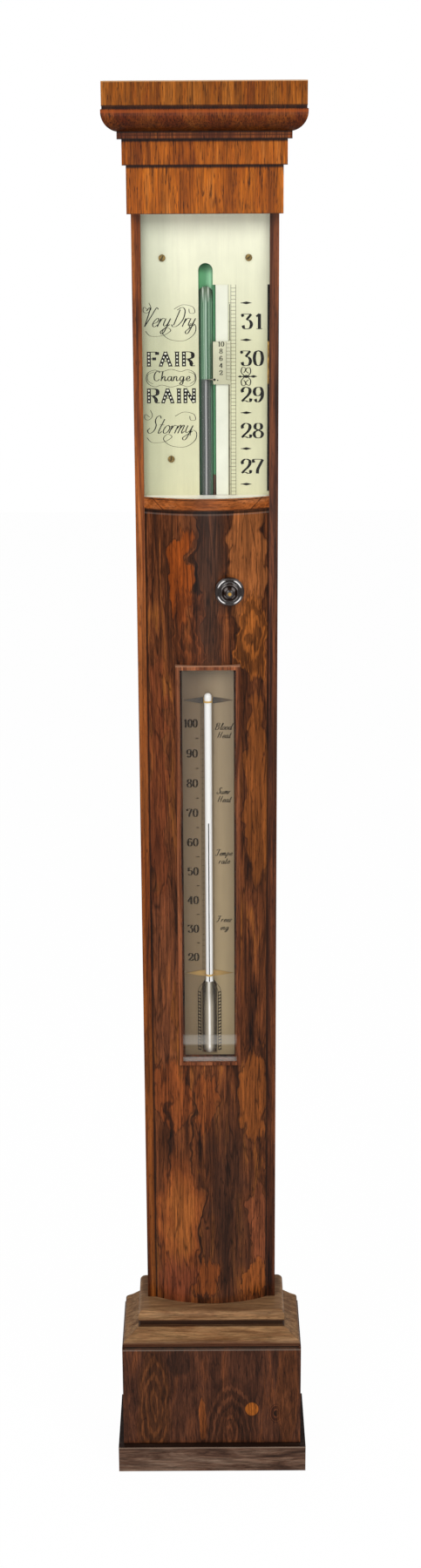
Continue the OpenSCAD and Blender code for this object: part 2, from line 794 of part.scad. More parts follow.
module vernier_plate() {
  z = vernier_z + index_h;
  color(silvered) union() {
    block([vernier_x, vernier_back_y - vernier_t, vernier_z],
      [vernier_x + vernier_w, vernier_back_y, vernier_z + vernier_h]);
    translate([0, vernier_back_y, 0]) rotate([90, 0, 0]) linear_extrude(height = 0.5)
      polygon([[vernier_x + eps, z - 0.5], [vernier_x + eps, z + 0.5],
        [vernier_x - index_l, z + 0.12], [vernier_x - index_l, z - 0.12]]);
  }
}

// A band behind the scale, turned forward through the slots at both of its edges
module vernier_carriage() {
  left = slot_x + air;
  right = chord_x - air;
  top_z = vernier_z + vernier_h;
  color(brass) union() {
    block([left, carriage_y, vernier_z], [right, gear_y, top_z]);
    block([left, vernier_back_y, vernier_z], [strip_x - air, carriage_y + eps, top_z]);
    block([edge_x + air, plate_y + 0.2, vernier_z], [right, carriage_y + eps, top_z]);
  }
}

// Straight-sided rack teeth that face the pinion, with a gap at the knob's height
module vernier_rack() {
  slope = tan(pressure);
  root_x = rack_x - tooth_root;
  tip_x = rack_x + rack_add;
  half = tooth_pitch / 4 - tooth_play / 2;
  n_low = ceil((rack_low_z + half + 1.5 - knob_z) / tooth_pitch - 0.5);
  n_top = floor((rack_teeth_z - knob_z) / tooth_pitch - 0.5);
  teeth = [for (i = [n_low : n_top]) let (z = knob_z + (i + 0.5) * tooth_pitch)
    [[root_x, z - half - tooth_root * slope], [tip_x, z - half + rack_add * slope],
      [tip_x, z + half - rack_add * slope], [root_x, z + half + tooth_root * slope]]];
  outline = concat([[rack_left, rack_low_z], [root_x, rack_low_z]],
    [for (t = teeth) for (p = t) p],
    [[root_x, vernier_z + vernier_h], [rack_left, vernier_z + vernier_h]]);
  color(brass) translate([0, gear_y + gear_w, 0]) rotate([90, 0, 0])
    linear_extrude(height = gear_w) polygon(outline);
}

// Angle in degrees that an involute has turned through at radius r
function involute_turn(r) = let (a = acos(base_r / r)) tan(a) * 180 / PI - a;

module pinion_outline() {
  half = 90 / pinion_teeth - tooth_play / 2 / pitch_r * 180 / PI;
  at_pitch = involute_turn(pitch_r);
  start_r = max(base_r, root_r);
  flank = [for (i = [0 : 5]) let (r = start_r + (tip_r - start_r) * i / 5)
    [r, half + at_pitch - involute_turn(r)]];
  tooth = concat([[root_r, flank[0][1]]], flank);
  n = len(tooth);
  polygon([for (k = [0 : pinion_teeth - 1]) for (s = [-1, 1]) for (i = [0 : n - 1])
    let (p = s < 0 ? tooth[i] : tooth[n - 1 - i], a = 180 - k * 360 / pinion_teeth + s * -p[1])
    [p[0] * cos(a), p[0] * sin(a)]]);
}

module pinion() {
  color(brass) difference() {
    union() {
      translate([knob_x, gear_y + gear_w, knob_z]) rotate([90, 0, 0])
        linear_extrude(height = gear_w) pinion_outline();
      rod(knob_x, knob_z, collar_r, panel_y + bush_flange_t + 0.3, gear_y + eps);
    }
    rod(knob_x, knob_z, spindle_r, panel_y - 1, cock_y);
  }
}

module knob_spindle() {
  color(brass) rod(knob_x, knob_z, spindle_r, knob_back_y - knob_depth + 3,
    cock_y + cock_t + 0.3);
}

// The turned knob: a rolled rim, a hollow, two rings and a boss
module vernier_knob() {
  d = knob_depth;
  r = knob_r;
  color(ebony) translate([knob_x, knob_back_y, knob_z]) rotate([90, 0, 0])
    rotate_extrude() difference() {
      polygon(concat([[0, 0], [r * 0.55, 0], [r * 0.62, d * 0.08]],
        oval(r - 1.7, d * 0.22, 1.7, 2, -80, 110, 10),
        oval(r * 0.72, d * 0.56, 2.1, 2.6, -40, -140, 6),
        oval(r * 0.55, d * 0.55, 0.9, 1.6, 0, 150, 6),
        [[r * 0.40, d * 0.58], [r * 0.36, d * 0.80], [r * 0.27, d * 0.96], [r * 0.20, d], [0, d]]));
      translate([-1, -1]) square([spindle_r + 1, d - 2]);
      translate([-1, d - 0.8]) square([knob_pin_r + 1, 2]);
    }
}

module knob_centre() {
  y = knob_back_y - knob_depth;
  color(brass) rod(knob_x, knob_z, knob_pin_r, y - 0.3, y + 0.8);
}

module spindle_bush() {
  color(brass) difference() {
    union() {
      rod(knob_x, knob_z, bush_r, bow_y + 2.4, panel_y + eps);
      rod(knob_x, knob_z, bush_r + 2.4, panel_y, panel_y + bush_flange_t);
    }
    rod(knob_x, knob_z, spindle_r + running, bow_y - 1, panel_y + 3);
  }
}

// The bracket behind the rack that carries the spindle's inner end
module pinion_cock() {
  z0 = knob_z - cock_h / 2;
  z1 = knob_z + cock_h / 2;
  color(brass) difference() {
    union() {
      block([cock_foot_x, panel_y, z0], [cock_foot_x + cock_foot_w, panel_y + cock_t, z1]);
      block([cock_foot_x, panel_y, z0], [cock_foot_x + cock_t, cock_y + cock_t, z1]);
      block([rack_left, cock_y, z0], [cock_foot_x + cock_t, cock_y + cock_t, z1]);
    }
    rod(knob_x, knob_z, spindle_r + running, cock_y - 1, cock_y + cock_t + 1);
    cock_screw_holes();
  }
}

module cock_screws() {
  color(brass) for (s = [-1, 1]) {
    rod(cock_screw_x, knob_z + s * 3.2, cock_screw_r, panel_y - 5, panel_y + cock_t + eps);
    rod(cock_screw_x, knob_z + s * 3.2, cock_screw_r + 0.8, panel_y + cock_t,
      panel_y + cock_t + 0.9);
  }
}

// Frame of the thermometer: a rounded lip in front of the glass and a lining behind it
module thermometer_frame() {
  top_z = thermo_z + frame_h;
  mid_z = thermo_z + frame_h / 2;
  half_h = frame_h / 2;
  soft = 0.9;
  color(rosewood) difference() {
    intersection() {
      block([-frame_x, frame_y, thermo_z], [frame_x, pocket_floor_y, top_z]);
      translate([0, 0, thermo_z - 1]) linear_extrude(height = frame_h + 2)
        polygon(concat([[-frame_x, pocket_floor_y], [frame_x, pocket_floor_y]],
          oval(frame_x - soft, frame_y + soft, soft, soft, 0, -90, 4),
          oval(soft - frame_x, frame_y + soft, soft, soft, -90, -180, 4)));
      translate([-frame_x - 1, 0, mid_z]) rotate([90, 0, 90]) linear_extrude(height = frame_w + 2)
        polygon(concat([[pocket_floor_y, -half_h], [pocket_floor_y, half_h]],
          oval(frame_y + soft, half_h - soft, soft, soft, 90, 180, 4),
          oval(frame_y + soft, soft - half_h, soft, soft, 180, 270, 4)));
    }
    block([frame_m - frame_x, frame_y - 1, thermo_z + frame_m],
      [frame_x - frame_m, pocket_floor_y + 1, top_z - frame_m]);
    block([-lining_x, pane_y, thermo_z + lining_t], [lining_x, pocket_floor_y + 1,
      top_z - lining_t]);
  }
}

module thermometer_glass() {
  color(clear) block([-lining_x, pane_y, thermo_z + lining_t],
    [lining_x, pane_y + pane_t, thermo_z + frame_h - lining_t]);
}

module thermometer_plate() {
  color([0.66, 0.60, 0.48]) difference() {
    block([-scale_w / 2, scale_y, scale_low_z], [scale_w / 2, pocket_floor_y, scale_top_z]);
    post(0, stem_y, cutout_r, bulb_z - 1.5, bulb_top_z - 4);
    translate([0, stem_y, bulb_top_z - 4])
      cylinder(r1 = cutout_r, r2 = stem_r - 0.4, h = 7);
  }
}

module thermometer_tube() {
  wall = 0.7;
  color("whitesmoke") turned(0, stem_y) polygon(concat(
    oval(0, bulb_z + bulb_r, bulb_r, bulb_r, -90, 0, 8),
    [[bulb_r, bulb_top_z - 7], [stem_r, bulb_top_z + 1]],
    oval(0, stem_top_z - stem_r, stem_r, stem_r, 0, 90, 8),
    [[0, thread_z + 2], [capillary_r, thread_z + 2], [capillary_r, bulb_top_z - 3],
      [bulb_r - wall, bulb_top_z - 8]],
    oval(0, bulb_z + bulb_r, bulb_r - wall, bulb_r - wall, 0, -90, 8)));
}

module thermometer_mercury() {
  wall = 0.75;
  r = capillary_r - 0.05;
  color(mercury) turned(0, stem_y) polygon(concat(
    oval(0, bulb_z + bulb_r, bulb_r - wall, bulb_r - wall, -90, 0, 8),
    [[bulb_r - wall, bulb_top_z - 8.1], [r, bulb_top_z - 3.1], [r, thread_z], [0, thread_z]]));
}

// Pointed brass clips over the tube, one at each end of the scale
module thermometer_clips() {
  reach = scale_w / 2 - 0.8;
  high = 2.3;
  color(brass) for (z = [clip_low_z, clip_top_z]) {
    difference() {
      union() {
        translate([0, scale_y, 0]) rotate([90, 0, 0]) linear_extrude(height = 0.5)
          polygon([[-reach, z], [-8, z - high + 0.4], [-4, z - high], [4, z - high],
            [8, z - high + 0.4], [reach, z], [8, z + high - 0.4], [4, z + high],
            [-4, z + high], [-8, z + high - 0.4]]);
        translate([0, stem_y, z - 0.6]) cylinder(r = stem_r + 0.55, h = 1.2);
      }
      post(0, stem_y, stem_r + 0.02, z - 4, z + 4);
      block([-30, scale_y, z - 5], [30, scale_y + 6, z + 5]);
    }
  }
}

backboard();
stile(-1);  // left_stile
stile(1);  // right_stile
trunk_front();
register_rail();
register_sill();
register_bed();
register_plate();
scale_strip();
plate_screws();
register_glass();
frieze_lower_front();
frieze_lower_side(-1);  // frieze_lower_left
frieze_lower_side(1);  // frieze_lower_right
frieze_upper();
cornice_fillet();
cornice_ovolo();
cornice_cap();
upper_base_moulding();
lower_base_moulding();
plinth_front();
plinth_side(-1);  // plinth_left
plinth_side(1);  // plinth_right
plinth_floor();
plinth_blocks();
skirt_front();
skirt_side(-1);  // skirt_left
skirt_side(1);  // skirt_right
barometer_tube();
mercury_column();
tube_cradles();
tube_straps();
cistern_cap();
cistern_body();
cistern_mercury();
cistern_leather();
cistern_foot();
portable_screw();
portable_pad();
vernier_plate();
vernier_carriage();
vernier_rack();
pinion();
knob_spindle();
vernier_knob();
knob_centre();
spindle_bush();
pinion_cock();
cock_screws();
thermometer_frame();
thermometer_glass();
thermometer_plate();
thermometer_tube();
thermometer_mercury();
thermometer_clips();
hanging_plate();
hanging_screws();
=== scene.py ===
"""Looks of a bow-front stick barometer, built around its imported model.

The instrument hangs by the hook hole at the origin. Sizes are in millimetres
until a helper turns them into metres. Heights below the hook are negative.
"""

import logging
import math
from dataclasses import dataclass, field
from enum import Enum
from functools import cache

import bpy
from mathutils import Matrix, Vector


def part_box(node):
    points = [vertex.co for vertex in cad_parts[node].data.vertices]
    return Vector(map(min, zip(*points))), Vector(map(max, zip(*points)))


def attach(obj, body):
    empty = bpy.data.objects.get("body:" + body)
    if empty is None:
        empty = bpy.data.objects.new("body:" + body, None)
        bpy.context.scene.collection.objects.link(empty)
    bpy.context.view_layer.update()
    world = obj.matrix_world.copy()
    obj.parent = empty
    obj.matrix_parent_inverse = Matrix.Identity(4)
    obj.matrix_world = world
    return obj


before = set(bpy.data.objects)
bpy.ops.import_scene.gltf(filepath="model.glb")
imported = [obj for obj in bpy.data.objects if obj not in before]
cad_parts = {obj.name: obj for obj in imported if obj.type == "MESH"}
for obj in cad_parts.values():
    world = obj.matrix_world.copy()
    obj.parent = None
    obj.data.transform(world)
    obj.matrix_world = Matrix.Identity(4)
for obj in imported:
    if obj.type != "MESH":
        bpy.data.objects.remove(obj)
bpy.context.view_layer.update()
log = logging.getLogger("stick_barometer")

MM = 0.001
UPRIGHT, ACROSS = (0.0, 0.0, 1.0), (1.0, 0.0, 0.0)
Socket = bpy.types.NodeSocket
Point = tuple[float, float]
Triple = tuple[float, float, float]
Stop = tuple[float, int]


def tone(code: int) -> tuple[float, float, float, float]:
    """Turns a display colour into the linear colour that a shader takes.

    Args:
        code: the colour as a hexadecimal number, such as 0x985623.

    Returns:
        The linear red, green and blue, and an alpha of one.
    """
    parts = [((code >> shift) & 255) / 255 for shift in (16, 8, 0)]
    linear = [p / 12.92 if p <= 0.04045 else ((p + 0.055) / 1.055) ** 2.4 for p in parts]
    return (linear[0], linear[1], linear[2], 1.0)


class Grain(Enum):
    """The way that the fibres run: along the one axis that is zero here."""

    UP = (1.0, 1.0, 0.0)
    ACROSS = (0.0, 1.0, 1.0)

    def drawn(self, factor: float) -> Triple:
        """A scale that is the given factor along the fibres and one elsewhere."""
        return tuple(1.0 if part else factor for part in self.value)


class Graph:
    """A tree of shader nodes."""

    def __init__(self, tree: bpy.types.NodeTree) -> None:
        """Empties the tree."""
        self.nodes, self.links = tree.nodes, tree.links
        self.nodes.clear()

    def put(self, socket: Socket, value: object) -> None:
        """Feeds a socket.

        Args:
            socket: the input.
            value: another socket, or a plain value.
        """
        if isinstance(value, Socket):
            self.links.new(value, socket)
        else:
            socket.default_value = value

    def add(self, kind: str, feeds: dict[str | int, object], output: str | int = 0,
            **options: str) -> Socket:
        """Adds a node.

        Args:
            kind: its type, without the prefix that all of them share.
            feeds: a value or a socket for each input that isn't left alone.
            output: the output that is wanted.
            options: settings such as its operation.

        Returns:
            The wanted output.
        """
        node = self.nodes.new("ShaderNode" + kind)
        for option, value in options.items():
            setattr(node, option, value)
        for socket, value in feeds.items():
            self.put(node.inputs[socket], value)
        return node.outputs[output]

    def show(self, output: Socket, lit: Socket, seen: Socket, share: float) -> None:
        """Ends the tree in one shader for light and shadow and another for the camera.

        Args:
            output: the input of the tree's last node.
            lit: the shader that lights the object and takes its shadow.
            seen: the shader that the camera sees over it.
            share: how much of that is laid over.
        """
        ray = self.add("LightPath", {}, "Is Camera Ray")
        part = self.add("Math", {0: ray, 1: share}, operation="MULTIPLY")
        self.put(output, self.add("MixShader", {0: part, 1: lit, 2: seen}))


class Recipe(Graph):
    """The node graph of one material, from its coordinates to its shader."""

    def __init__(self, name: str) -> None:
        """Starts a material with a bare shader.

        Args:
            name: the material's name.
        """
        self.material = bpy.data.materials.new(name)
        self.material.use_nodes = True
        super().__init__(self.material.node_tree)
        self.output = self.nodes.new("ShaderNodeOutputMaterial").inputs[0]
        self.shader = self.nodes.new("ShaderNodeBsdfPrincipled")
        self.links.new(self.shader.outputs[0], self.output)

    def gloss(self, roughness: float | Socket, coat: float = 0.0, coat_roughness: float = 0.1,
              metallic: float = 0.0, specular: float = 0.5) -> None:
        """Sets how the surface shines.

        Args:
            roughness: a number or a socket.
            coat: weight of the clear layer of polish.
            coat_roughness: roughness of that layer.
            metallic: one for bare metal.
            specular: level of the plain reflection.
        """
        for name, value in (("Roughness", roughness), ("Coat Weight", coat),
                            ("Coat Roughness", coat_roughness), ("Metallic", metallic),
                            ("Specular IOR Level", specular)):
            self.put(self.shader.inputs[name], value)

    def colour(self, value: Socket) -> None:
        """Sets the base colour."""
        self.put(self.shader.inputs["Base Color"], value)

    def here(self) -> Socket:
        """Object coordinates, in metres."""
        return self.add("TexCoord", {}, "Object")

    def place(self, scale: Triple = (1, 1, 1), shift: Triple = (0, 0, 0), turn: float = 0.0,
              source: Socket | None = None) -> Socket:
        """Coordinates scaled, turned by degrees about the depth axis, and then shifted."""
        return self.add("Mapping", {"Vector": source or self.here(), "Scale": scale,
                                    "Location": shift, "Rotation": (0, math.radians(turn), 0)})

    def warp(self, vector: Socket, size: float, amount: float) -> Socket:
        """Moves coordinates about by a soft noise.

        Args:
            vector: the coordinates.
            size: size of the noise's swells, in the coordinates' own units.
            amount: how far a point moves at most.

        Returns:
            The moved coordinates.
        """
        swell = self.add("TexNoise", {"Vector": vector, "Scale": 1 / size, "Detail": 2}, "Color")
        centred = self.vector_math("SUBTRACT", swell, (0.5, 0.5, 0.5))
        moved = self.add("VectorMath", {0: centred, "Scale": amount * 2}, operation="SCALE")
        return self.vector_math("ADD", vector, moved)

    def vector_math(self, operation: str, first: Socket, second: Socket | Triple) -> Socket:
        """One operation on two vectors."""
        return self.add("VectorMath", {0: first, 1: second}, operation=operation)

    def maths(self, operation: str, first: Socket, second: Socket | float = 0.0) -> Socket:
        """One operation on two numbers."""
        return self.add("Math", {0: first, 1: second}, operation=operation)

    def noise(self, vector: Socket, size: float, detail: float = 4.0,
              roughness: float = 0.5, distortion: float = 0.0) -> Socket:
        """Noise about one half, whose swells have a size in the coordinates' own units."""
        return self.add("TexNoise", {"Vector": vector, "Scale": 1 / size, "Detail": detail,
                                     "Roughness": roughness, "Distortion": distortion}, "Fac")

    def swing(self, noise: Socket, reach: float) -> Socket:
        """Turns a noise into a shift that is zero in the middle of the noise."""
        return self.maths("MULTIPLY", self.maths("SUBTRACT", noise, 0.5), reach)

    def ramp(self, factor: Socket, stops: tuple[tuple[float, float], ...]) -> Socket:
        """Turns a factor into colours or grey levels.

        Args:
            factor: a number from zero to one.
            stops: places on it, each with a grey level or with a colour's whole number.

        Returns:
            The colour.
        """
        found = self.add("ValToRGB", {0: factor})
        elements = found.node.color_ramp.elements
        for spare in range(len(stops) - 2):
            elements.new(0.5 + spare * 0.01)
        for element, (position, value) in zip(elements, stops):
            element.position = position
            element.color = tone(value) if isinstance(value, int) else (value, value, value, 1)
        return found

    def mix(self, factor: float | Socket, first: object, second: object,
            blend: str = "MIX") -> Socket:
        """Mixes two colours by a factor."""
        return self.add("Mix", {"Factor": factor, 6: first, 7: second}, 2,
                        data_type="RGBA", blend_type=blend)

    def darken(self, strength: float, body: object, layer: Socket) -> Socket:
        """Multiplies a colour by a layer."""
        return self.mix(strength, body, layer, "MULTIPLY")

    def climb(self, axis: str, low: float, high: float) -> Socket:
        """A factor that climbs from zero to one between two places on an axis."""
        along = self.add("SeparateXYZ", {0: self.here()}, axis)
        return self.add("MapRange", {"Value": along, "From Min": low * MM, "From Max": high * MM})

    def bump(self, height: Socket, strength: float, distance: float) -> None:
        """Raises the surface by a height map, with its distance in millimetres."""
        self.put(self.shader.inputs["Normal"], self.add("Bump", {
            "Strength": strength, "Distance": distance * MM, "Height": height}))


@dataclass(frozen=True)
class Finish:
    """A procedural material on object coordinates."""

    name: str

    def paint(self, recipe: Recipe) -> None:
        """Draws the finish into a material's graph."""
        raise NotImplementedError(self.name)

    @cache
    def make(self) -> bpy.types.Material:
        """Builds the material when it is first asked for.

        Returns:
            The finished material.
        """
        recipe = Recipe(self.name)
        self.paint(recipe)
        return recipe.material


@dataclass(frozen=True)
class Patch:
    """A stretch of wood of another tone, with a dark seam round it where it has one.

    The middle and the half sizes are in millimetres from the hook.
    """

    x: float
    z: float
    half_x: float
    half_z: float
    colour: int
    strength: float = 0.8
    seam: float = 0.6
    rings: float = 0.0
    turn: float = 0.0
    clean: bool = False
    soft: float = 0.14


@dataclass(frozen=True)
class Seam:
    """A dark or light line where a plane across the wood meets its surface.

    The plane's distance from the hook along its normal gives the place of the
    line, in millimetres. Such lines draw real joints, painted shade under steps
    and in recesses, and painted highlights along lit edges.
    """

    at: float
    half: float
    colour: int = 0x140A06
    strength: float = 0.85
    normal: Triple = UPRIGHT


@dataclass(frozen=True)
class Wood(Finish):
    """A polished veneer: broad figure, fine threads, pores, patches, joints, painted shade and
    painted highlights.
    """

    tones: tuple[int, int, int, int]
    grain: Grain = Grain.UP
    figure: float = 11.0
    run: float = 14.0
    curl: float = 0.8
    thread: float = 1.1
    contrast: float = 0.8
    pore: float = 0.55
    pore_run: float = 11.0
    pore_strength: float = 0.6
    ink: float = 0.0
    sway: float = 24.0
    fray: float = 30.0
    turn: float = 0.0
    seed: float = 0.0
    polish: float = 0.1
    shade: Triple | None = None
    patches: tuple[Patch, ...] = ()
    seams: tuple[Seam, ...] = ()

    def along(self, recipe: Recipe, run: float) -> Socket:
        """Object coordinates drawn out along the fibres by the given run."""
        shift = (self.seed, self.seed * 0.7, self.seed * 1.3)
        return recipe.place(self.grain.drawn(1 / run), shift, self.turn)

    def paint(self, recipe: Recipe) -> None:
        """Draws the figure first, then the patches, the pores, the painted shade and the lines of
        joints and painted light.

        Args:
            recipe: the material's graph.
        """
        size = self.figure * MM
        swells = recipe.warp(self.along(recipe, self.run), size * 4, size * self.curl)
        bands = recipe.noise(swells, size, 6, 0.66, self.curl)
        wood = recipe.ramp(bands, tuple(zip((0.34, 0.45, 0.55, 0.68), self.tones)))
        threads = self.threads(recipe, swells)
        wood = recipe.darken(self.contrast, wood, threads)
        if self.patches:
            drift = self.drift(recipe)
            grey = recipe.ramp(bands, ((0.36, 0.66), (0.5, 0.95), (0.64, 1.15)))
            inner = recipe.darken(1.0, threads, grey)
            for patch in self.patches:
                wood = self.inlaid(recipe, wood, patch, inner, drift)
        if self.ink:
            wood = recipe.darken(self.ink, wood, self.inked(recipe, swells))
        pores = recipe.noise(self.along(recipe, self.pore_run), self.pore * MM, 2, 0.5)
        dashes = recipe.ramp(pores, ((0.33, 0.2), (0.41, 1.0)))
        wood = recipe.darken(self.pore_strength, wood, dashes)
        if self.shade:
            low, high, dark = self.shade
            fall = recipe.ramp(recipe.climb("Z", low, high), ((0.0, dark), (1.0, 1.0)))
            wood = recipe.darken(1.0, wood, fall)
        for seam in self.seams:
            wood = self.lined(recipe, wood, seam)
        recipe.colour(wood)
        rough = recipe.ramp(threads, ((0.3, 0.5), (0.9, 0.36)))
        recipe.gloss(rough, self.polish, coat_roughness=0.2, specular=0.08)
        recipe.bump(pores, 0.06, 0.2)

    def threads(self, recipe: Recipe, swells: Socket) -> Socket:
        """Draws fine dark and light threads along the fibres.

        Args:
            recipe: the material's graph.
            swells: the coordinates of the figure, which the threads follow.

        Returns:
            The threads as grey levels.
        """
        tight = recipe.vector_math("MULTIPLY", swells, self.grain.drawn(0.45))
        fine = recipe.noise(tight, self.thread * MM, 3, 0.7)
        broad = recipe.noise(tight, self.thread * 3.2 * MM, 2, 0.6)
        near = recipe.ramp(fine, ((0.34, 0.4), (0.50, 0.9), (0.66, 1.35)))
        far = recipe.ramp(broad, ((0.36, 0.55), (0.5, 0.95), (0.64, 1.2)))
        return recipe.darken(0.7, near, far)

    def inked(self, recipe: Recipe, swells: Socket) -> Socket:
        """Draws thin black lines that wander along the figure and close into eyes.

        Args:
            recipe: the material's graph.
            swells: the coordinates of the figure.

        Returns:
            The lines as grey levels.
        """
        contour = recipe.noise(swells, self.figure * 0.8 * MM, 2.5, 0.5, 0.3)
        off = recipe.maths("ABSOLUTE", recipe.maths("SUBTRACT", contour, 0.5))
        return recipe.ramp(off, ((0.0, 0.2), (0.006, 0.35), (0.022, 1.0)))

    def drift(self, recipe: Recipe) -> Socket:
        """Makes coordinates wander, so that a patch sways and ends in its fibres.

        Args:
            recipe: the material's graph.

        Returns:
            The coordinates.
        """
        fibres = recipe.noise(self.along(recipe, 18.0), 1.5 * MM, 3, 0.65)
        sway = recipe.noise(recipe.place((0.7, 1.0, 0.5)), 9 * MM, 2, 0.45)
        shift = recipe.add("CombineXYZ", {"X": recipe.swing(sway, self.sway * MM),
                                          "Z": recipe.swing(fibres, self.fray * MM)})
        return recipe.vector_math("ADD", recipe.place(), shift)

    @staticmethod
    def inlaid(recipe: Recipe, wood: Socket, patch: Patch, inner: Socket,
               drift: Socket) -> Socket:
        """Mixes one patch into the wood, with its seam, its rings and its fibres.

        Args:
            recipe: the material's graph.
            wood: the colour so far.
            patch: the patch.
            inner: light and dark of the fibres inside it.
            drift: the coordinates that it is drawn on.

        Returns:
            The colour with the patch in it.
        """
        full_wave = 6.28
        spread = (1 / (patch.half_x * MM), 0.0, 1 / (patch.half_z * MM))
        turn = math.radians(patch.turn)
        x, z = patch.x / patch.half_x, patch.z / patch.half_z
        shift = (-(x * math.cos(turn) + z * math.sin(turn)), 0.0,
                 x * math.sin(turn) - z * math.cos(turn))
        ball = recipe.place(spread, shift, patch.turn, None if patch.clean else drift)
        depth = recipe.add("TexGradient", {0: ball}, 1, gradient_type="SPHERICAL")
        own = recipe.darken(0.85, tone(patch.colour), inner)
        if patch.rings:
            ring = recipe.maths("SINE", recipe.maths("MULTIPLY", depth, patch.rings * full_wave))
            own = recipe.darken(0.9, own, recipe.ramp(ring, ((0.0, 0.35), (0.7, 1.15))))
        if patch.seam:
            rim = recipe.ramp(depth, ((0.0, 0.0), (0.07, patch.seam), (0.16, 0.0)))
            wood = recipe.mix(rim, wood, tone(0x180B06))
        edge = ((0.06, 0.0), (0.06 + patch.soft, patch.strength))
        return recipe.mix(recipe.ramp(depth, edge), wood, own)

    @staticmethod
    def lined(recipe: Recipe, wood: Socket, seam: Seam) -> Socket:
        """Draws one line over the wood: a joint line, a line of painted shade, or a painted
        highlight.

        Args:
            recipe: the material's graph.
            wood: the colour so far.
            seam: the line.

        Returns:
            The colour with the line in it.
        """
        reach = recipe.add("VectorMath", {0: recipe.here(), 1: seam.normal}, "Value",
                           operation="DOT_PRODUCT")
        off = recipe.maths("ABSOLUTE", recipe.maths("SUBTRACT", reach, seam.at * MM))
        near = recipe.ramp(recipe.maths("DIVIDE", off, seam.half * MM),
                           ((0.45, seam.strength), (1.0, 0.0)))
        return recipe.mix(near, wood, tone(seam.colour))


@dataclass(frozen=True)
class PlainWood(Finish):
    """Pale wood with a faint even grain, for boards and turned parts."""

    dark: int
    light: int
    roughness: float
    coat: float = 0.0

    def paint(self, recipe: Recipe) -> None:
        """Draws broad rings with a fine grain over them.

        Args:
            recipe: the material's graph.
        """
        place = recipe.warp(recipe.place(Grain.UP.drawn(0.07)), 0.02, 0.004)
        rings = recipe.noise(place, 6 * MM, 5, 0.6)
        fine = recipe.noise(place, 1.1 * MM, 3, 0.6)
        body = recipe.ramp(rings, ((0.3, self.dark), (0.7, self.light)))
        recipe.colour(recipe.darken(0.5, body, recipe.ramp(fine, ((0.3, 0.7), (0.6, 1.05)))))
        recipe.gloss(self.roughness, self.coat, 0.08)
        recipe.bump(fine, 0.1, 0.2)


@dataclass(frozen=True)
class Silvered(Finish):
    """A brushed silvered plate whose colour changes from its foot to its head, in tint and in
    painted light.
    """

    low: float
    high: float
    foot: int
    waist: int
    head: int
    left: int = 0xFFFFFF
    right: int = 0xFFFFFF
    edge: float = 44.0
    change: tuple[float, float] = (0.0, 1.0)

    def paint(self, recipe: Recipe) -> None:
        """Draws the tint and painted light from foot to head, the painted shade of the sides, the
        brushed grain, the clouds and the painted reflection bands.

        Args:
            recipe: the material's graph.
        """
        body = recipe.ramp(recipe.climb("Z", self.low, self.high),
                           ((0.0, self.foot), (0.5, self.waist), (1.0, self.head)))
        # painted shade towards the sides
        across = recipe.climb("X", -self.edge, self.edge)
        painted_side_shade = recipe.ramp(across, tuple(zip(self.change, (self.left, self.right))))
        body = recipe.darken(1.0, body, painted_side_shade)
        brushed = recipe.noise(recipe.place((1.0, 1.0, 0.02)), 0.7 * MM, 3, 0.6)
        # painted reflection: soft upright bands
        painted_reflection_bands = recipe.noise(recipe.place((1.0, 1.0, 0.12)), 9 * MM, 3, 0.6)
        cloud = recipe.noise(recipe.place(), 16 * MM, 4, 0.6)
        for strength, layer, dark in ((0.5, brushed, 0.93), (0.6, cloud, 0.92),
                                      (0.7, painted_reflection_bands, 0.91)):
            body = recipe.darken(strength, body, recipe.ramp(layer, ((0.3, dark), (0.7, 1.03))))
        recipe.colour(body)
        rough = recipe.ramp(brushed, ((0.3, 0.5), (0.7, 0.38)))
        recipe.gloss(rough, metallic=0.12, specular=0.3)
        recipe.bump(brushed, 0.04, 0.1)


@dataclass(frozen=True)
class Metal(Finish):
    """Bare metal with small scratches and a slight tarnish."""

    bright: int
    dull: int
    roughness: float

    def paint(self, recipe: Recipe) -> None:
        """Draws the tarnish and the scratches.

        Args:
            recipe: the material's graph.
        """
        stain = recipe.noise(recipe.place(), 4 * MM, 4, 0.6)
        scratch = recipe.noise(recipe.place((1, 1, 0.1)), 0.5 * MM, 2, 0.5)
        recipe.colour(recipe.ramp(stain, ((0.35, self.dull), (0.65, self.bright))))
        rough = recipe.ramp(scratch, ((0.3, self.roughness * 0.85), (0.7, self.roughness * 1.25)))
        recipe.gloss(rough, metallic=1.0)


@dataclass(frozen=True)
class Glass(Finish):
    """Clear glass that shows more of itself towards its edges and in level bands.

    A band is a stop of a height in millimetres and the haze of painted reflection that is added
    there.
    """

    tint: int
    face_alpha: float
    edge_alpha: float
    bands: tuple[tuple[float, float], ...] = ()

    def paint(self, recipe: Recipe) -> None:
        """Draws how clear the glass is, and a faint cloud in its tint.

        Args:
            recipe: the material's graph.
        """
        facing = recipe.add("LayerWeight", {"Blend": 0.35}, "Facing")
        cloud = recipe.noise(recipe.place(), 30 * MM, 2, 0.5)
        clear = recipe.ramp(facing, ((0.0, self.face_alpha), (0.75, self.edge_alpha)))
        # painted reflection: level bands of haze
        if self.bands:
            low, high = self.bands[0][0], self.bands[-1][0]
            stops = tuple(((z - low) / (high - low), part) for z, part in self.bands)
            clear = recipe.maths("ADD", clear, recipe.ramp(recipe.climb("Z", low, high), stops))
        recipe.put(recipe.shader.inputs["Alpha"], clear)
        tint = recipe.darken(0.15, tone(self.tint), recipe.ramp(cloud, ((0.0, 0.8), (1.0, 1.0))))
        recipe.colour(tint)
        recipe.gloss(0.05)


@dataclass(frozen=True)
class Zone:
    """Upright stripes of colour that start below a height.

    Each stripe is a place across, in millimetres from the middle, and a colour.
    """

    top: float
    stripes: tuple[Stop, ...]
    fade: float = 0.3


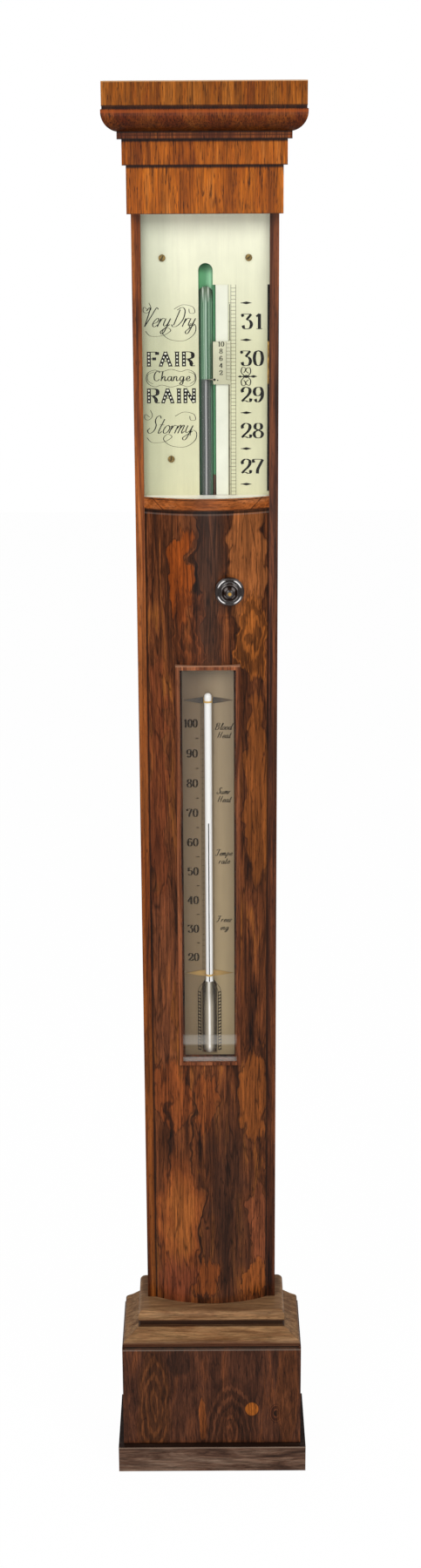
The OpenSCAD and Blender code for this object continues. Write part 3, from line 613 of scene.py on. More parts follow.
@dataclass(frozen=True)
class Striped(Finish):
    """A surface of upright stripes, such as a filled tube with its painted reflections."""

    reach: float
    zones: tuple[Zone, ...]
    roughness: float
    specular: float
    waver: float = 0.0

    def paint(self, recipe: Recipe) -> None:
        """Draws the zones from the top down, each over the ones above it.

        Args:
            recipe: the material's graph.
        """
        waver = recipe.noise(recipe.place((1.0, 1.0, 0.2)), 8 * MM, 2, 0.5)
        plain = recipe.climb("X", -self.reach, self.reach)
        across = recipe.maths("ADD", plain, recipe.swing(waver, self.waver / self.reach))
        body: Socket | None = None
        for zone in self.zones:
            stops = tuple(((x / self.reach + 1) / 2, code) for x, code in zone.stripes)
            stripes = recipe.ramp(across, stops)
            if body is None:
                body = stripes
            else:
                above = recipe.climb("Z", zone.top - zone.fade, zone.top + zone.fade)
                body = recipe.mix(above, stripes, body)
        recipe.colour(body)
        recipe.gloss(self.roughness, specular=self.specular)


@dataclass(frozen=True)
class Turned(Finish):
    """Polished turned wood, with painted highlights where its rings catch a lamp on either side.

    The rings run from the middle outwards, each with its radius in millimetres.
    """

    ground: int
    middle: Point
    rings: tuple[Stop, ...]
    reach: float = 12.0

    def paint(self, recipe: Recipe) -> None:
        """Draws the painted highlights of the rings over the dark ground.

        Args:
            recipe: the material's graph.
        """
        scale = 1 / (self.reach * MM)
        shift = (-self.middle[0] / self.reach, 0.0, -self.middle[1] / self.reach)
        spot = recipe.place((scale, 0.0, scale), shift)
        x = recipe.add("SeparateXYZ", {0: spot}, "X")
        z = x.node.outputs["Z"]
        square = recipe.maths("ADD", recipe.maths("MULTIPLY", x, x),
                              recipe.maths("MULTIPLY", z, z))
        turn = recipe.maths("DIVIDE", recipe.maths("MULTIPLY", x, z), square)
        lit = recipe.ramp(recipe.maths("ABSOLUTE", turn), ((0.3, 0.0), (0.44, 1.0)))
        stops = tuple((radius / self.reach, code) for radius, code in self.rings)
        rings = recipe.ramp(recipe.maths("SQRT", square), stops)
        recipe.colour(recipe.mix(lit, tone(self.ground), rings))
        recipe.gloss(0.3, 0.15)


@dataclass(frozen=True)
class Paint(Finish):
    """A flat paint, wax or bone surface with slight clouds."""

    dark: int
    light: int
    cloud: float = 8.0
    roughness: float = 0.5
    specular: float = 0.4

    def paint(self, recipe: Recipe) -> None:
        """Draws the clouds.

        Args:
            recipe: the material's graph.
        """
        swell = recipe.noise(recipe.place(), self.cloud * MM, 4, 0.6)
        recipe.colour(recipe.ramp(swell, ((0.3, self.dark), (0.7, self.light))))
        recipe.gloss(self.roughness, specular=self.specular)
        recipe.bump(swell, 0.03, 0.1)


BRASS = Metal("aged_brass", 0xB08A4A, 0x6E5228, 0.32)
WAX = Paint("engraver_wax", 0x0C0A08, 0x1A1612, 6, 0.6, 0.1)


def dress(finish: Finish, *nodes: str) -> None:
    """Gives modelled nodes a finish.

    Args:
        finish: the finish.
        nodes: names of the nodes.
    """
    for name in nodes:
        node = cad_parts[name]
        node.data.materials.clear()
        node.data.materials.append(finish.make())
        log.info("dressed %s in %s", name, finish.name)


def enter(name: str, data: bpy.types.ID) -> bpy.types.Object:
    """Adds an object to the scene.

    Args:
        name: its name.
        data: its mesh, its lamp or its camera.

    Returns:
        The object.
    """
    thing = bpy.data.objects.new(name, data)
    bpy.context.scene.collection.objects.link(thing)
    return thing


BOWL = "60 38,42 46,22 32,18 10,32 0,50 14,62 44"
GLYPHS: dict[str, tuple[str, ...]] = {
    "0": ("50 100,26 88,16 50,26 12,50 0,74 12,84 50,74 88,50 100",),
    "1": ("24 82,50 100", "50 100,50 0", "26 0,74 0"),
    "2": ("20 66,16 82,34 98,54 100,76 90,80 70,64 46,36 24,12 4", "12 5,40 9,64 2,82 6,88 24"),
    "3": ("16 82,14 98,82 98", "82 98,44 60", "44 60,68 56,84 34,74 8,48 0,24 5,15 24"),
    "4": ("66 0,66 100", "66 100,8 30", "8 30,90 30", "48 0,84 0"),
    "5": ("24 98,78 98", "24 98,22 52", "22 52,50 62,78 50,84 28,70 6,44 0,18 12"),
    "6": ("76 80,64 98,42 96,20 70,16 34,28 6,50 0,74 8,84 30,74 52,52 58,30 50,18 34",),
    "7": ("12 76,14 98,88 98", "88 98,64 60,46 28,44 0"),
    "8": ("50 54,72 64,78 80,68 96,50 100,32 96,22 80,28 64,50 54,76 42,85 24,72 5,50 0,28 5,"
          "15 24,24 42,50 54",),
    "9": ("24 20,36 2,58 4,80 30,84 66,72 94,50 100,26 92,16 70,26 48,48 42,70 50,82 66",),
    "F": ("20 0,20 100", "6 100,78 100", "20 52,58 52", "6 0,36 0", "78 100,78 80", "58 62,58 42"),
    "A": ("50 100,14 0", "48 100,84 0", "24 34,72 34", "2 0,28 0", "68 0,98 0"),
    "I": ("50 0,50 100", "32 0,68 0", "32 100,68 100"),
    "R": ("20 0,20 100", "6 100,58 100,80 88,80 64,60 52,20 50", "48 50,68 30,76 4,98 2",
          "6 0,34 0"),
    "N": ("18 0,18 100", "18 100,80 0", "80 0,80 100", "4 0,32 0", "4 100,18 100",
          "66 100,94 100"),
    "a": (BOWL, "62 44,56 10,64 0,80 12"),
    "d": (BOWL, "76 100,58 12,66 0,80 12"),
    "e": ("18 16,44 22,56 34,46 46,28 36,18 14,32 0,50 4,66 14",),
    "g": (BOWL, "62 44,50 -20,34 -38,16 -28,40 -8,76 12"),
    "h": ("12 0,34 100", "22 22,40 44,54 42,50 14,58 0,72 12"),
    "i": ("22 44,16 10,24 0,40 12", "28 60,29 64"),
    "l": ("10 12,36 76,36 100,26 92,18 14,28 0,42 12",),
    "m": ("14 44,8 0", "12 22,28 45,38 40,32 0", "36 22,52 45,62 40,58 12,64 0,78 12"),
    "n": ("16 44,8 0", "12 22,30 45,46 40,40 12,48 0,62 12"),
    "o": ("40 46,22 38,14 14,28 0,48 8,56 30,40 46", "50 36,66 40"),
    "p": ("26 46,8 -38", "20 24,34 46,54 40,52 14,36 0,16 8"),
    "r": ("14 44,8 0", "12 20,28 44,46 42"),
    "t": ("34 80,20 12,28 0,44 12", "12 48,46 48"),
    "u": ("14 44,10 12,22 0,42 12,50 44", "50 44,46 12,54 0,66 12"),
    "y": ("14 44,10 14,22 4,42 14,52 44", "52 44,38 -22,22 -38,6 -26,30 -8,64 12"),
    "z": ("14 42,46 44,10 2,50 0",),
    "B": ("32 90,22 4", "10 80,36 102,70 96,68 66,34 54,72 50,76 16,44 0,10 10"),
    "C": ("76 82,64 100,38 92,18 56,20 14,44 0,72 18",),
    "D": ("36 90,26 8", "8 12,24 0,60 6,88 40,80 84,48 102,12 88"),
    "H": ("30 96,20 4", "78 96,66 4", "22 50,74 50"),
    "S": ("80 84,62 100,42 88,44 66,60 44,56 14,30 0,8 16,20 30",),
    "T": ("8 82,26 100,88 96", "56 98,44 14,24 0,10 12"),
    "V": ("6 84,20 100,32 88,34 0", "34 0,62 60,80 100,98 92"),
    "Ƒ": ("16 84,34 98,88 94", "58 96,44 14,26 0,10 10", "30 52,70 54"),
}
ADVANCE: dict[str, float] = {
    "i": 34, "l": 38, "t": 40, "r": 42, "m": 76, "e": 56, "o": 56, "a": 70, "n": 60, "u": 66,
    "y": 60, "z": 52, "h": 66, "p": 60, "g": 70, "d": 74, "I": 78, " ": 10, "1": 84, "A": 80,
    "F": 88, "R": 106, "C": 78, "D": 94, "H": 92, "S": 74, "T": 74, "V": 76,
}
WIDE = 100.0


@dataclass(frozen=True)
class Hand:
    """A hand of lettering, in millimetres.

    The width of its letters and their lean to the right go by their height.
    """

    high: float
    hair: float
    stem: float
    stretch: float
    lean: float = 0.0


def path(stroke: str, x: float = 0.0, z: float = 0.0, across: float = 1.0, up: float = 1.0,
         lean: float = 0.0) -> list[Point]:
    """The points of a stroke such as "12 48,46 48", drawn out from its zero at x and z."""
    pairs = [[float(part) for part in pair.split()] for pair in stroke.split(",")]
    return [(x + a * across + b * up * lean, z + b * up) for a, b in pairs]


@dataclass
class Engraving:
    """Wax-filled cuts on a flat plate, gathered into one thin piece.

    The pen draws on the plate's front. A stroke is broad where it runs upright
    and thin where it runs level, as a graver cuts it.
    """

    name: str
    face_y: float
    finish: Finish = WAX
    body: str = "case"
    slot: str = "silvered_brass"
    proud: float = 0.05
    steps: int = 5
    corners: list[Point] = field(default_factory=list)
    faces: list[list[int]] = field(default_factory=list)

    def ribbon(self, line: list[Point], halves: list[float]) -> None:
        """Adds a ribbon along a line.

        Args:
            line: the points of its middle.
            halves: half its width at each point.
        """
        start = len(self.corners)
        last = len(line) - 1
        for i, (x, z) in enumerate(line):
            before, after = line[max(i - 1, 0)], line[min(i + 1, last)]
            run_x, run_z = after[0] - before[0], after[1] - before[1]
            size = math.hypot(run_x, run_z) or 1.0
            off_x, off_z = -run_z / size * halves[i], run_x / size * halves[i]
            self.corners += [(x + off_x, z + off_z), (x - off_x, z - off_z)]
        for a in range(start, start + 2 * last, 2):
            self.faces.append([a, a + 1, a + 3, a + 2])

    def bar(self, x0: float, z0: float, x1: float, z1: float, width: float) -> None:
        """Adds a straight cut of even width between two points."""
        self.ribbon([(x0, z0), (x1, z1)], [width / 2, width / 2])

    def pen(self, points: list[Point], hair: float, stem: float) -> None:
        """Draws a smooth stroke through points.

        Args:
            points: the points that it passes.
            hair: its width where it runs level.
            stem: its width where it runs upright.
        """
        line = self.smooth(points)
        halves = []
        for i in range(len(line)):
            before, after = line[max(i - 1, 0)], line[min(i + 1, len(line) - 1)]
            run = math.hypot(after[0] - before[0], after[1] - before[1]) or 1.0
            upright = abs(after[1] - before[1]) / run
            halves.append((hair + (stem - hair) * upright ** 1.6) / 2)
        self.ribbon(line, halves)

    def smooth(self, points: list[Point]) -> list[Point]:
        """Fills a smooth line in between points.

        Args:
            points: the points that the line passes.

        Returns:
            The points of the line.
        """
        if len(points) == 2:
            return list(points)
        line: list[Point] = []
        for i in range(len(points) - 1):
            p0, p1 = points[max(i - 1, 0)], points[i]
            p2, p3 = points[i + 1], points[min(i + 2, len(points) - 1)]
            for k in range(self.steps):
                t = k / self.steps
                line.append(tuple(
                    0.5 * (2 * p1[a] + (p2[a] - p0[a]) * t
                           + (2 * p0[a] - 5 * p1[a] + 4 * p2[a] - p3[a]) * t * t
                           + (3 * p1[a] - p0[a] - 3 * p2[a] + p3[a]) * t ** 3)
                    for a in (0, 1)))
        line.append(points[-1])
        return line

    @staticmethod
    def strokes(text: str, x: float, z: float, hand: Hand) -> list[list[Point]]:
        """Lays out the strokes of letters or figures.

        Args:
            text: what is written.
            x: its middle.
            z: its foot.
            hand: the hand of lettering.

        Returns:
            The points of each stroke.
        """
        unit = hand.high / 100
        wide = unit * hand.stretch
        left = x - sum(ADVANCE.get(letter, WIDE) for letter in text) * wide / 2
        found = []
        for letter in text:
            for stroke in GLYPHS.get(letter, ()):
                found.append(path(stroke, left, z, wide, unit, hand.lean))
            left += ADVANCE.get(letter, WIDE) * wide
        return found

    def word(self, text: str, x: float, z: float, hand: Hand) -> None:
        """Writes letters or figures, by their middle and their foot."""
        for points in self.strokes(text, x, z, hand):
            self.pen(points, hand.hair, hand.stem)

    def studs(self, text: str, x: float, z: float, hand: Hand) -> None:
        """Places small diamonds down the broad strokes of a word.

        Args:
            text: the word.
            x: its middle.
            z: its foot.
            hand: the hand of lettering.
        """
        count, half_x, half_z = 4, 0.64, 0.8
        for points in self.strokes(text, x, z, hand):
            (x0, z0), (x1, z1) = points[0], points[-1]
            if len(points) == 2 and abs(z1 - z0) > hand.high / 2:
                for step in range(count):
                    part = (step + 0.5) / count
                    self.diamond(x0 + (x1 - x0) * part, z0 + (z1 - z0) * part, half_x, half_z)

    def diamond(self, x: float, z: float, half_x: float, half_z: float) -> None:
        """Adds a long diamond, whose tips are a hair wide."""
        self.ribbon([(x - half_x, z), (x, z), (x + half_x, z)], [0.02, half_z, 0.02])

    def disc(self, x: float, z: float, radius: float) -> None:
        """Adds a round dot.

        Args:
            x: its middle.
            z: its middle's height.
            radius: its radius.
        """
        start, count = len(self.corners), 16
        for i in range(count):
            turn = 2 * math.pi * i / count
            self.corners.append((x + radius * math.cos(turn), z + radius * math.sin(turn)))
        self.faces.append([start + i for i in range(count)])

    def build(self) -> None:
        """Makes the piece, gives it its thickness and lets it ride on its body."""
        mesh = bpy.data.meshes.new(self.name)
        face = self.face_y - self.proud * MM
        mesh.from_pydata([(x * MM, face, z * MM) for x, z in self.corners], [], self.faces)
        mesh.materials.append(self.finish.make())
        piece = enter(self.name, mesh)
        bpy.ops.object.select_all(action="DESELECT")
        piece.select_set(True)
        bpy.context.view_layer.objects.active = piece
        bpy.ops.object.mode_set(mode="EDIT")
        bpy.ops.mesh.select_all(action="SELECT")
        bpy.ops.mesh.normals_make_consistent(inside=False)
        bpy.ops.object.mode_set(mode="OBJECT")
        for polygon in mesh.polygons:
            if polygon.normal.y > 0:
                polygon.flip()
        wall = piece.modifiers.new("thickness", "SOLIDIFY")
        wall.thickness = self.proud * MM
        wall.offset = -1
        bpy.ops.object.modifier_apply(modifier=wall.name)
        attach(piece, self.body)
        log.info("built %s on %s", self.name, self.body)


@dataclass(frozen=True)
class Case:
    """The wooden case: cornice, trunk, plinth and back."""

    face_x: float = 44.5
    rail_z: float = -208.6
    sill_z: float = -200.0
    frieze_z: float = -4.0
    frieze_up_z: float = 28.0
    fillet_z: float = 45.0
    ovolo_z: float = 50.0
    cap_z: float = 66.4
    top_z: float = 82.4
    nose_z: float = -857.6
    mould_up_z: float = -862.1
    mould_low_z: float = -873.1
    skirt_z: float = -961.6

    def dress(self) -> None:
        """Gives every board its finish."""
        self.dress_cornice()
        self.dress_trunk()
        self.dress_mouldings()
        self.dress_plinth()
        self.dress_back()

    def dress_cornice(self) -> None:
        """Dresses the cornice in upright veneer, with joint lines and painted shade at each step.
        """
        look = {"figure": 14.0, "run": 12.0, "curl": 0.4, "thread": 0.9, "pore": 0.7,
                "pore_strength": 0.95, "pore_run": 12.0, "contrast": 0.95}
        friezes = ("frieze_lower_front", "frieze_lower_left", "frieze_lower_right")
        boards = (
            # cap: a dark joint line with painted shade under it at its foot, and a painted
            # highlight along its top edge
            (("cornice_cap",), (0x743608, 0x86460A, 0x985616, 0xAE6A2E), 0.3, None,
             (Seam(self.cap_z, 0.9), Seam(self.top_z, 0.9, 0xC9A27A, 0.7))),
            # ovolo: painted shade over its lower part, painted shade in the quirk at its top, and
            # a painted highlight band on its upper curve
            (("cornice_ovolo",), (0x562007, 0x6E300A, 0x7C3C0E, 0x8C4C1A), 0.7,
             (self.ovolo_z, self.cap_z - 5, 0.36),
             (Seam(self.cap_z - 1, 1.3), Seam(self.cap_z - 3.4, 1.3, 0xA04A14, 0.5))),
            # fillet: dark joint lines with painted shade at its edges, and a line of painted shade
            # across it
            (("cornice_fillet",), (0x401A0A, 0x5E2C12, 0x763C18, 0x88491A), 3.1, None,
             (Seam(self.fillet_z, 0.9), Seam(self.ovolo_z, 1.2),
              Seam(self.fillet_z + 2.6, 0.7, 0x3A1808, 0.6))),
            # upper frieze: a dark joint line at its foot, and painted shade under the fillet at
            # its top
            (("frieze_upper",), (0x6A2E04, 0x8E4606, 0xA4560E, 0xB86C28), 1.2, None,
             (Seam(self.frieze_up_z, 0.8), Seam(self.fillet_z, 2.2, strength=0.9))),
            # lower friezes: painted shade under the upper frieze at their top, and a dark joint
            # line at their foot
            (friezes, (0x7C3C04, 0x984C06, 0xAA5A0C, 0xB86C28), 2.2, None,
             (Seam(self.frieze_up_z, 2.4, strength=0.9), Seam(self.frieze_z, 0.6, strength=0.7))),
        )
        for nodes, tones, seed, shade, seams in boards:
            dress(Wood(nodes[0] + "_veneer", tones, seed=seed, shade=shade, seams=seams, **look),
                  *nodes)

    def dress_trunk(self) -> None:
        """Dresses the bowed front, the stiles and the rail."""
        patches = (
            Patch(3, -262, 14, 100, 0x42281A, 0.75, 0.0, soft=0.5),
            Patch(14, -765, 24, 130, 0x3E2418, 0.75, 0.0, soft=0.5),
            Patch(29, -246, 15, 78, 0x9E5C2E, 0.82),
            Patch(-15, -226, 9, 32, 0x6E3C1E, 0.7, 0.0),
            Patch(-18, -256, 8.5, 38, 0x94440E, 0.82),
            Patch(-8.5, -250, 1.6, 44, 0x1E0F08, 0.8, 0.3),
            Patch(-13, -300, 12, 36, 0x743A1A, 0.6, 0.5, 2.5),
            Patch(33, -302, 15, 34, 0x98541E, 0.85, 0.6, 2.2),
            Patch(36, -420, 11, 84, 0x8E4E1E, 0.7, 0.5),
            Patch(-37, -420, 8, 120, 0x7C3C1E, 0.5, 0.2),
            Patch(-34, -575, 10, 90, 0x7C462A, 0.5, 0.2),
            Patch(-30, -668, 15, 34, 0x84421C, 0.75),
            Patch(34, -668, 12, 44, 0x8C4C1E, 0.85),
            Patch(-3, -672, 11, 26, 0x80401A, 0.7),
            Patch(-25, -784, 20, 76, 0x924A20, 0.85, 0.0, soft=0.3),
            Patch(-25, -776, 16, 54, 0xA6602A, 0.7, 0.0, soft=0.5),
            Patch(-26, -830, 18, 30, 0x7A3C26, 0.7, 0.0, soft=0.5),
            Patch(-6, -788, 2.2, 70, 0x1E0F08, 0.85, 0.0, soft=0.5),
            Patch(-33, -706, 2.2, 60, 0x221108, 0.8, 0.0, 0, 6, soft=0.5),
            Patch(-14, -700, 2.2, 56, 0x221108, 0.8, 0.0, 0, -5, soft=0.5),
            Patch(38, -780, 7, 44, 0x86482A, 0.7),
            Patch(-4, -826, 11, 17, 0x86441A, 0.8),
            Patch(36, -828, 9, 17, 0x8E4C1E, 0.85),
        )
        # dark joint lines along the stiles and under the rail, and a faint painted highlight along
        # the front's top edge
        edges = (Seam(-self.face_x, 1.8, normal=ACROSS), Seam(self.face_x, 1.8, normal=ACROSS),
                 Seam(self.rail_z - 1, 1.3), Seam(self.rail_z - 2.6, 0.8, 0x8A8078, 0.16))
        dress(Wood("front_rosewood", (0x24120A, 0x4E2812, 0x703C1E, 0x945622), patches=patches,
                   seams=edges, seed=0.37, contrast=0.95, ink=0.75, figure=9.0, run=12.0),
              "trunk_front")
        for side, tones, seed in (
                ("left_stile", (0x4E240C, 0x823E12, 0x9C541E, 0xAC622E), 1.9),
                ("right_stile", (0x28130A, 0x522A18, 0x703C20, 0x8C4C26), 5.4)):
            dress(Wood(side + "_rosewood", tones, seed=seed, figure=6.0, run=26.0,
                       shade=(-860.0, -220.0, 0.6), contrast=0.85, ink=0.5), side)
        slant = 0.7071
        mitres = tuple(Seam(at, 0.5, 0x2A1208, 0.7, (slant, 0.0, rise))
                       for at, rise in ((-169.2, slant), (169.4, -slant)))
        dress(Wood("rail_veneer", (0x7A3810, 0x8E4A1C, 0x985426, 0xA66236), Grain.ACROSS, 9, 5,
                   seams=(*mitres, Seam(self.rail_z, 1.0), Seam(self.sill_z - 0.9, 0.35)),
                   seed=4.4), "register_rail")

    def dress_mouldings(self) -> None:
        """Dresses the base mouldings, with painted shade in their quirk and on their noses, and
        dark joint lines.
        """
        for node, seed, seams in (
                # upper: painted shade in the quirk, under the nose and along the nose's turn
                ("upper_base_moulding", 7.7, (Seam(self.mould_up_z + 2, 3.2, 0x1E0D07, 0.95),
                                              Seam(self.nose_z + 0.3, 0.9, 0x3A2012, 0.8),
                                              Seam(-848.8, 1.0, 0x5E4430, 0.4))),
                # lower: painted shade under the upper nose and over its own nose, and a dark joint
                # line with painted shade at its foot
                ("lower_base_moulding", 8.8, (Seam(self.mould_up_z, 1.0, 0x2A150B, 0.9),
                                              Seam(self.mould_low_z + 0.4, 5.6, 0x44200F, 0.9),
                                              Seam(self.mould_low_z, 0.7, 0x140A06, 0.9)))):
            dress(Wood(node + "_veneer", (0x765030, 0x8C6442, 0x9A744E, 0xAC845E), Grain.ACROSS,
                       8, 8, contrast=0.7, pore_strength=0.5, seed=seed, seams=seams), node)

    def dress_plinth(self) -> None:
        """Dresses the plinth's boards and the skirt."""
        knots = (
            Patch(-46, -925, 15, 60, 0x74421F, 0.6, 0.3, 4, 14),
            Patch(-7.5, -940, 3.6, 22, 0x8E4C20, 0.85, 0.5, 0, -4),
            Patch(15, -962, 25, 66, 0x5E3520, 0.75, 0.4, 6),
            Patch(14, -952, 10, 26, 0x6C3C22, 0.6, 0.5, 3),
            Patch(31.9, -929.4, 6.0, 7.0, 0xA85C1C, 1.0, 0.7, clean=True),
            Patch(51.3, -933.5, 5.5, 9, 0x5A301C, 1.0, 0.8, 2, clean=True),
            Patch(51.3, -933.5, 2.2, 3.2, 0x1E0F08, 1.0, clean=True),
            Patch(60, -910, 10, 60, 0x74401F, 0.5, 0.3),
            Patch(-26, -886, 11, 14, 0x2A1810, 0.7, 0.2),
        )
        # a painted highlight along the plinth front's top edge
        top = Seam(self.mould_low_z - 2.1, 0.7, 0x8F8275, 0.4)
        # painted shade along the plinth's foot, where it meets the skirt
        foot = Seam(self.skirt_z + 0.5, 1.2, 0x150B07, 0.9)
        tones = (0x351C12, 0x482819, 0x583220, 0x703E22)
        dress(Wood("plinth_rosewood", tones, figure=12, run=6, turn=10, seed=5.1, ink=0.5,
                   contrast=0.85, sway=6, fray=14, patches=knots, seams=(top, foot)),
              "plinth_front")
        dress(Wood("plinth_side_rosewood", tones, figure=10, run=8, seed=6.3, ink=0.5,
                   seams=(foot,)), "plinth_left", "plinth_right")
        # painted shade on the skirt's top face, and a painted highlight along its front edge
        edges = (Seam(self.skirt_z, 0.3, 0x1A0E09, 0.9),
                 Seam(self.skirt_z - 0.9, 0.7, 0x9A8674, 0.5))
        dress(Wood("skirt_rosewood", (0x36231A, 0x583E30, 0x705646, 0x8C7260), Grain.ACROSS,
                   8, 9, seed=8.2, seams=edges, contrast=0.8, pore_strength=0.3),
              "skirt_front", "skirt_left", "skirt_right")

    def dress_back(self) -> None:
        """Dresses what only the back, the bottom and the inside show."""
        dress(PlainWood("pine", 0x8C6A44, 0xB8925F, 0.7),
              "backboard", "plinth_floor", "plinth_blocks", "tube_cradles")
        dress(PlainWood("boxwood", 0xA8843F, 0xCBA85C, 0.4, 0.2),
              "cistern_cap", "cistern_body", "cistern_foot", "portable_pad")
        dress(Paint("sheepskin", 0x7A5A3A, 0x9A7650), "cistern_leather")


@dataclass(frozen=True)
class Register:
    """The glazed register with its tube, its plates and their engraving.

    The ladder is the scale of tenths of an inch.
    """

    inch: float = 25.4
    level: float = -865.4
    ladder_left: float = 15.9
    ladder_mid: float = 17.6
    ladder_right: float = 21.0
    figure_x: float = 32.6
    mark_x: float = 28.4
    dash: Point = (24.4, 25.6)
    arrow: float = 29.5
    figures: Hand = Hand(10.3, 0.42, 2.25, 0.82)
    line: float = 0.22
    words_x: float = -24.4
    script_feet: tuple[float, float] = (-81.4, -155.8)

    def reading(self, inches: float) -> float:
        """The height of a reading on the scale, in millimetres from the hook."""
        return self.level + inches * self.inch

    def dress(self) -> None:
        """Gives the plates, the tube and the glass their finishes."""
        # a paler head by painted reflection, and painted shade on the left side
        dress(Silvered("register_silver", -200, 0, 0xD6D5B6, 0xCFCFB1, 0xF3F4E4, 0xD4D8CC,
                       0xFFFEF4, change=(0.0, 0.3)), "register_plate")
        dress(Paint("scale_white", 0xD8D9C6, 0xE4E5D2, 20, 0.4), "scale_strip")
        dress(Paint("bone", 0xFFF6E6, 0xFFFDF6, 14, 0.35), "register_sill")
        dress(self.channel(), "register_bed")
        dress(Glass("pane_glass", 0xE4E8E6, 0.008, 0.07), "register_glass")
        dress(self.tube(), "barometer_tube")
        dress(Metal("mercury", 0x7F8A80, 0x5A6458, 0.16), "mercury_column", "cistern_mercury",
              "thermometer_mercury")
        dress(Metal("dark_brass", 0x7C6638, 0x32280F, 0.28), "plate_screws")
        dress(BRASS, "tube_straps", "hanging_plate", "hanging_screws")

    @staticmethod
    def channel() -> Striped:
        """The bed's colours: green in the tube's channel with painted shade and highlights, and
        painted shade beyond it.

        Returns:
            The finish.
        """
        # painted shade: near black beyond the channel, where the bed shows only through gaps
        left = ((-44.0, 0x17110D), (-6.0, 0x17110D))
        right = ((7.2, 0x17110D), (44.0, 0x17110D))
        # painted shade at the channel's top, under the plate's edge
        dark = (*left, (-5.6, 0x123C22), (-1.0, 0x1E5A38), (4.6, 0x2C6E48), *right)
        # the green channel, with painted shade and a painted highlight across its round hollow
        green = (*left, (-5.6, 0x3C7A4C), (-3.6, 0x7CC890), (0.0, 0x86D09A), (3.4, 0xC8FFD4),
                 (5.0, 0x5CA070), (6.8, 0x3E7A4C), *right)
        # bare brown wood low on the right, beside the green
        brown = (*left, (-5.6, 0x3C7A4C), (4.4, 0x5C9C6C), (5.0, 0x6A4A36), (6.8, 0x4A3022),
                 *right)
        zones = (Zone(0.0, dark), Zone(-42.5, green, 3.5), Zone(-186.0, brown))
        return Striped("channel_paint", 45.0, zones, 0.5, 0.2, 0.5)

    @staticmethod
    def tube() -> Striped:
        """The tube's colours, with painted highlights and reflections: its dome, its empty end and
        its mercury.

        Returns:
            The finish.
        """
        # painted highlights on the dome, with painted shade at its edges
        dome = ((-4.7, 0x2C3A2E), (-3.6, 0x4C5C4A), (-2.5, 0x5C6E5A), (-2.1, 0xC4CCBE),
                (-1.8, 0xC4CCBE), (-1.3, 0x5C6E5A), (1.2, 0x64745E), (1.7, 0xD0D6C8),
                (1.9, 0xD0D6C8), (2.4, 0x5C6C58), (3.6, 0x4A5A48), (4.7, 0x28362A))
        # the empty end: painted reflections of the green channel and painted shade, in upright
        # stripes
        empty = ((-4.7, 0x34523C), (-4.2, 0x7AA083), (-3.5, 0x44644C), (-2.6, 0x6C9074),
                 (-1.8, 0x4E7056), (-1.2, 0x9AB69C), (-0.7, 0x4E7056), (0.2, 0xB4C8B6),
                 (0.7, 0x55765E), (1.5, 0x43604A), (2.4, 0x86A88C), (3.3, 0x42604C),
                 (4.2, 0x98CCA2), (4.7, 0x3A5A44))
        # the mercury: painted shade with a painted highlight down its middle
        full = ((-4.7, 0x30463A), (-4.0, 0x6C9078), (-3.3, 0x3E4A42), (-2.0, 0x565C56),
                (-1.2, 0x484C4A), (-0.6, 0x6E7070), (-0.1, 0xC0BEBC), (0.4, 0x6A6A6A),
                (1.4, 0x464A46), (2.6, 0x626A62), (3.3, 0x3E4C44), (4.0, 0x7CA486),
                (4.7, 0x34503E))
        zones = (Zone(0.0, dome), Zone(-61.5, empty, 4.0), Zone(-118.1, full))
        return Striped("tube_glass", 5.0, zones, 0.1, 0.12, 0.3)

    def engrave(self) -> None:
        """Cuts the scale, its figures and the weather words."""
        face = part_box("register_plate")[0].y
        cuts = Engraving("register_engraving", face)
        low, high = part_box("scale_strip")[0].z / MM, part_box("scale_strip")[1].z / MM
        for x in (self.ladder_left, self.ladder_mid, self.ladder_right):
            cuts.bar(x, low, x, high, self.line)
        tenth = math.ceil((low - self.level) / self.inch * 10)
        while self.reading(tenth / 10) < high:
            z = self.reading(tenth / 10)
            left = self.ladder_left if tenth % 5 == 0 else self.ladder_mid
            cuts.bar(left, z, self.ladder_right, z, self.line)
            if tenth % 10 == 0:
                cuts.word(str(tenth // 10), self.figure_x, z - self.figures.high / 2,
                          self.figures)
            elif tenth % 5 == 0:
                cuts.diamond(self.mark_x, z, 3.9, 0.95)
                cuts.bar(self.dash[0], z, self.dash[1], z, 0.5)
            tenth += 1
        self.scroll(cuts, self.reading(self.arrow))
        self.write_weather(cuts, face)
        cuts.build()
        self.line_slots(face)

    @staticmethod
    def scroll(cuts: Engraving, z: float) -> None:
        """Cuts the scroll round the arrow of one half inch.

        Args:
            cuts: the engraving that it joins.
            z: the arrow's height.
        """
        for side in (-1, 1):
            for stroke in ("27 .4,24.8 3,25.6 6.4,28.2 5.2,26.6 2.6",
                           "29.4 .4,31.4 2.8,30.6 6.2,27.6 4.6,30 2.2"):
                cuts.pen(path(stroke, z=z, up=side), 0.3, 0.75)
        cuts.diamond(24.0, z, 1.7, 0.8)
        cuts.diamond(33.4, z, 2.8, 0.95)
        cuts.disc(28.2, z, 1.1)

    @staticmethod
    def line_slots(face: float) -> None:
        """Draws the slots of the plate screws, and painted shade beside the scale and in the gap
        above the vernier.

        Args:
            face: depth of the plate's front, in metres.
        """
        slots = Engraving("screw_slots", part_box("plate_screws")[0].y, slot="brass")
        for x, z, run, rise in ((-30, -34.5, 0.9, 1.4), (30, -34.5, 1.3, 0.9),
                                (-25, -174, 0.5, 1.6)):
            slots.bar(x - run, z - rise, x + run, z + rise, 0.6)
        slots.build()
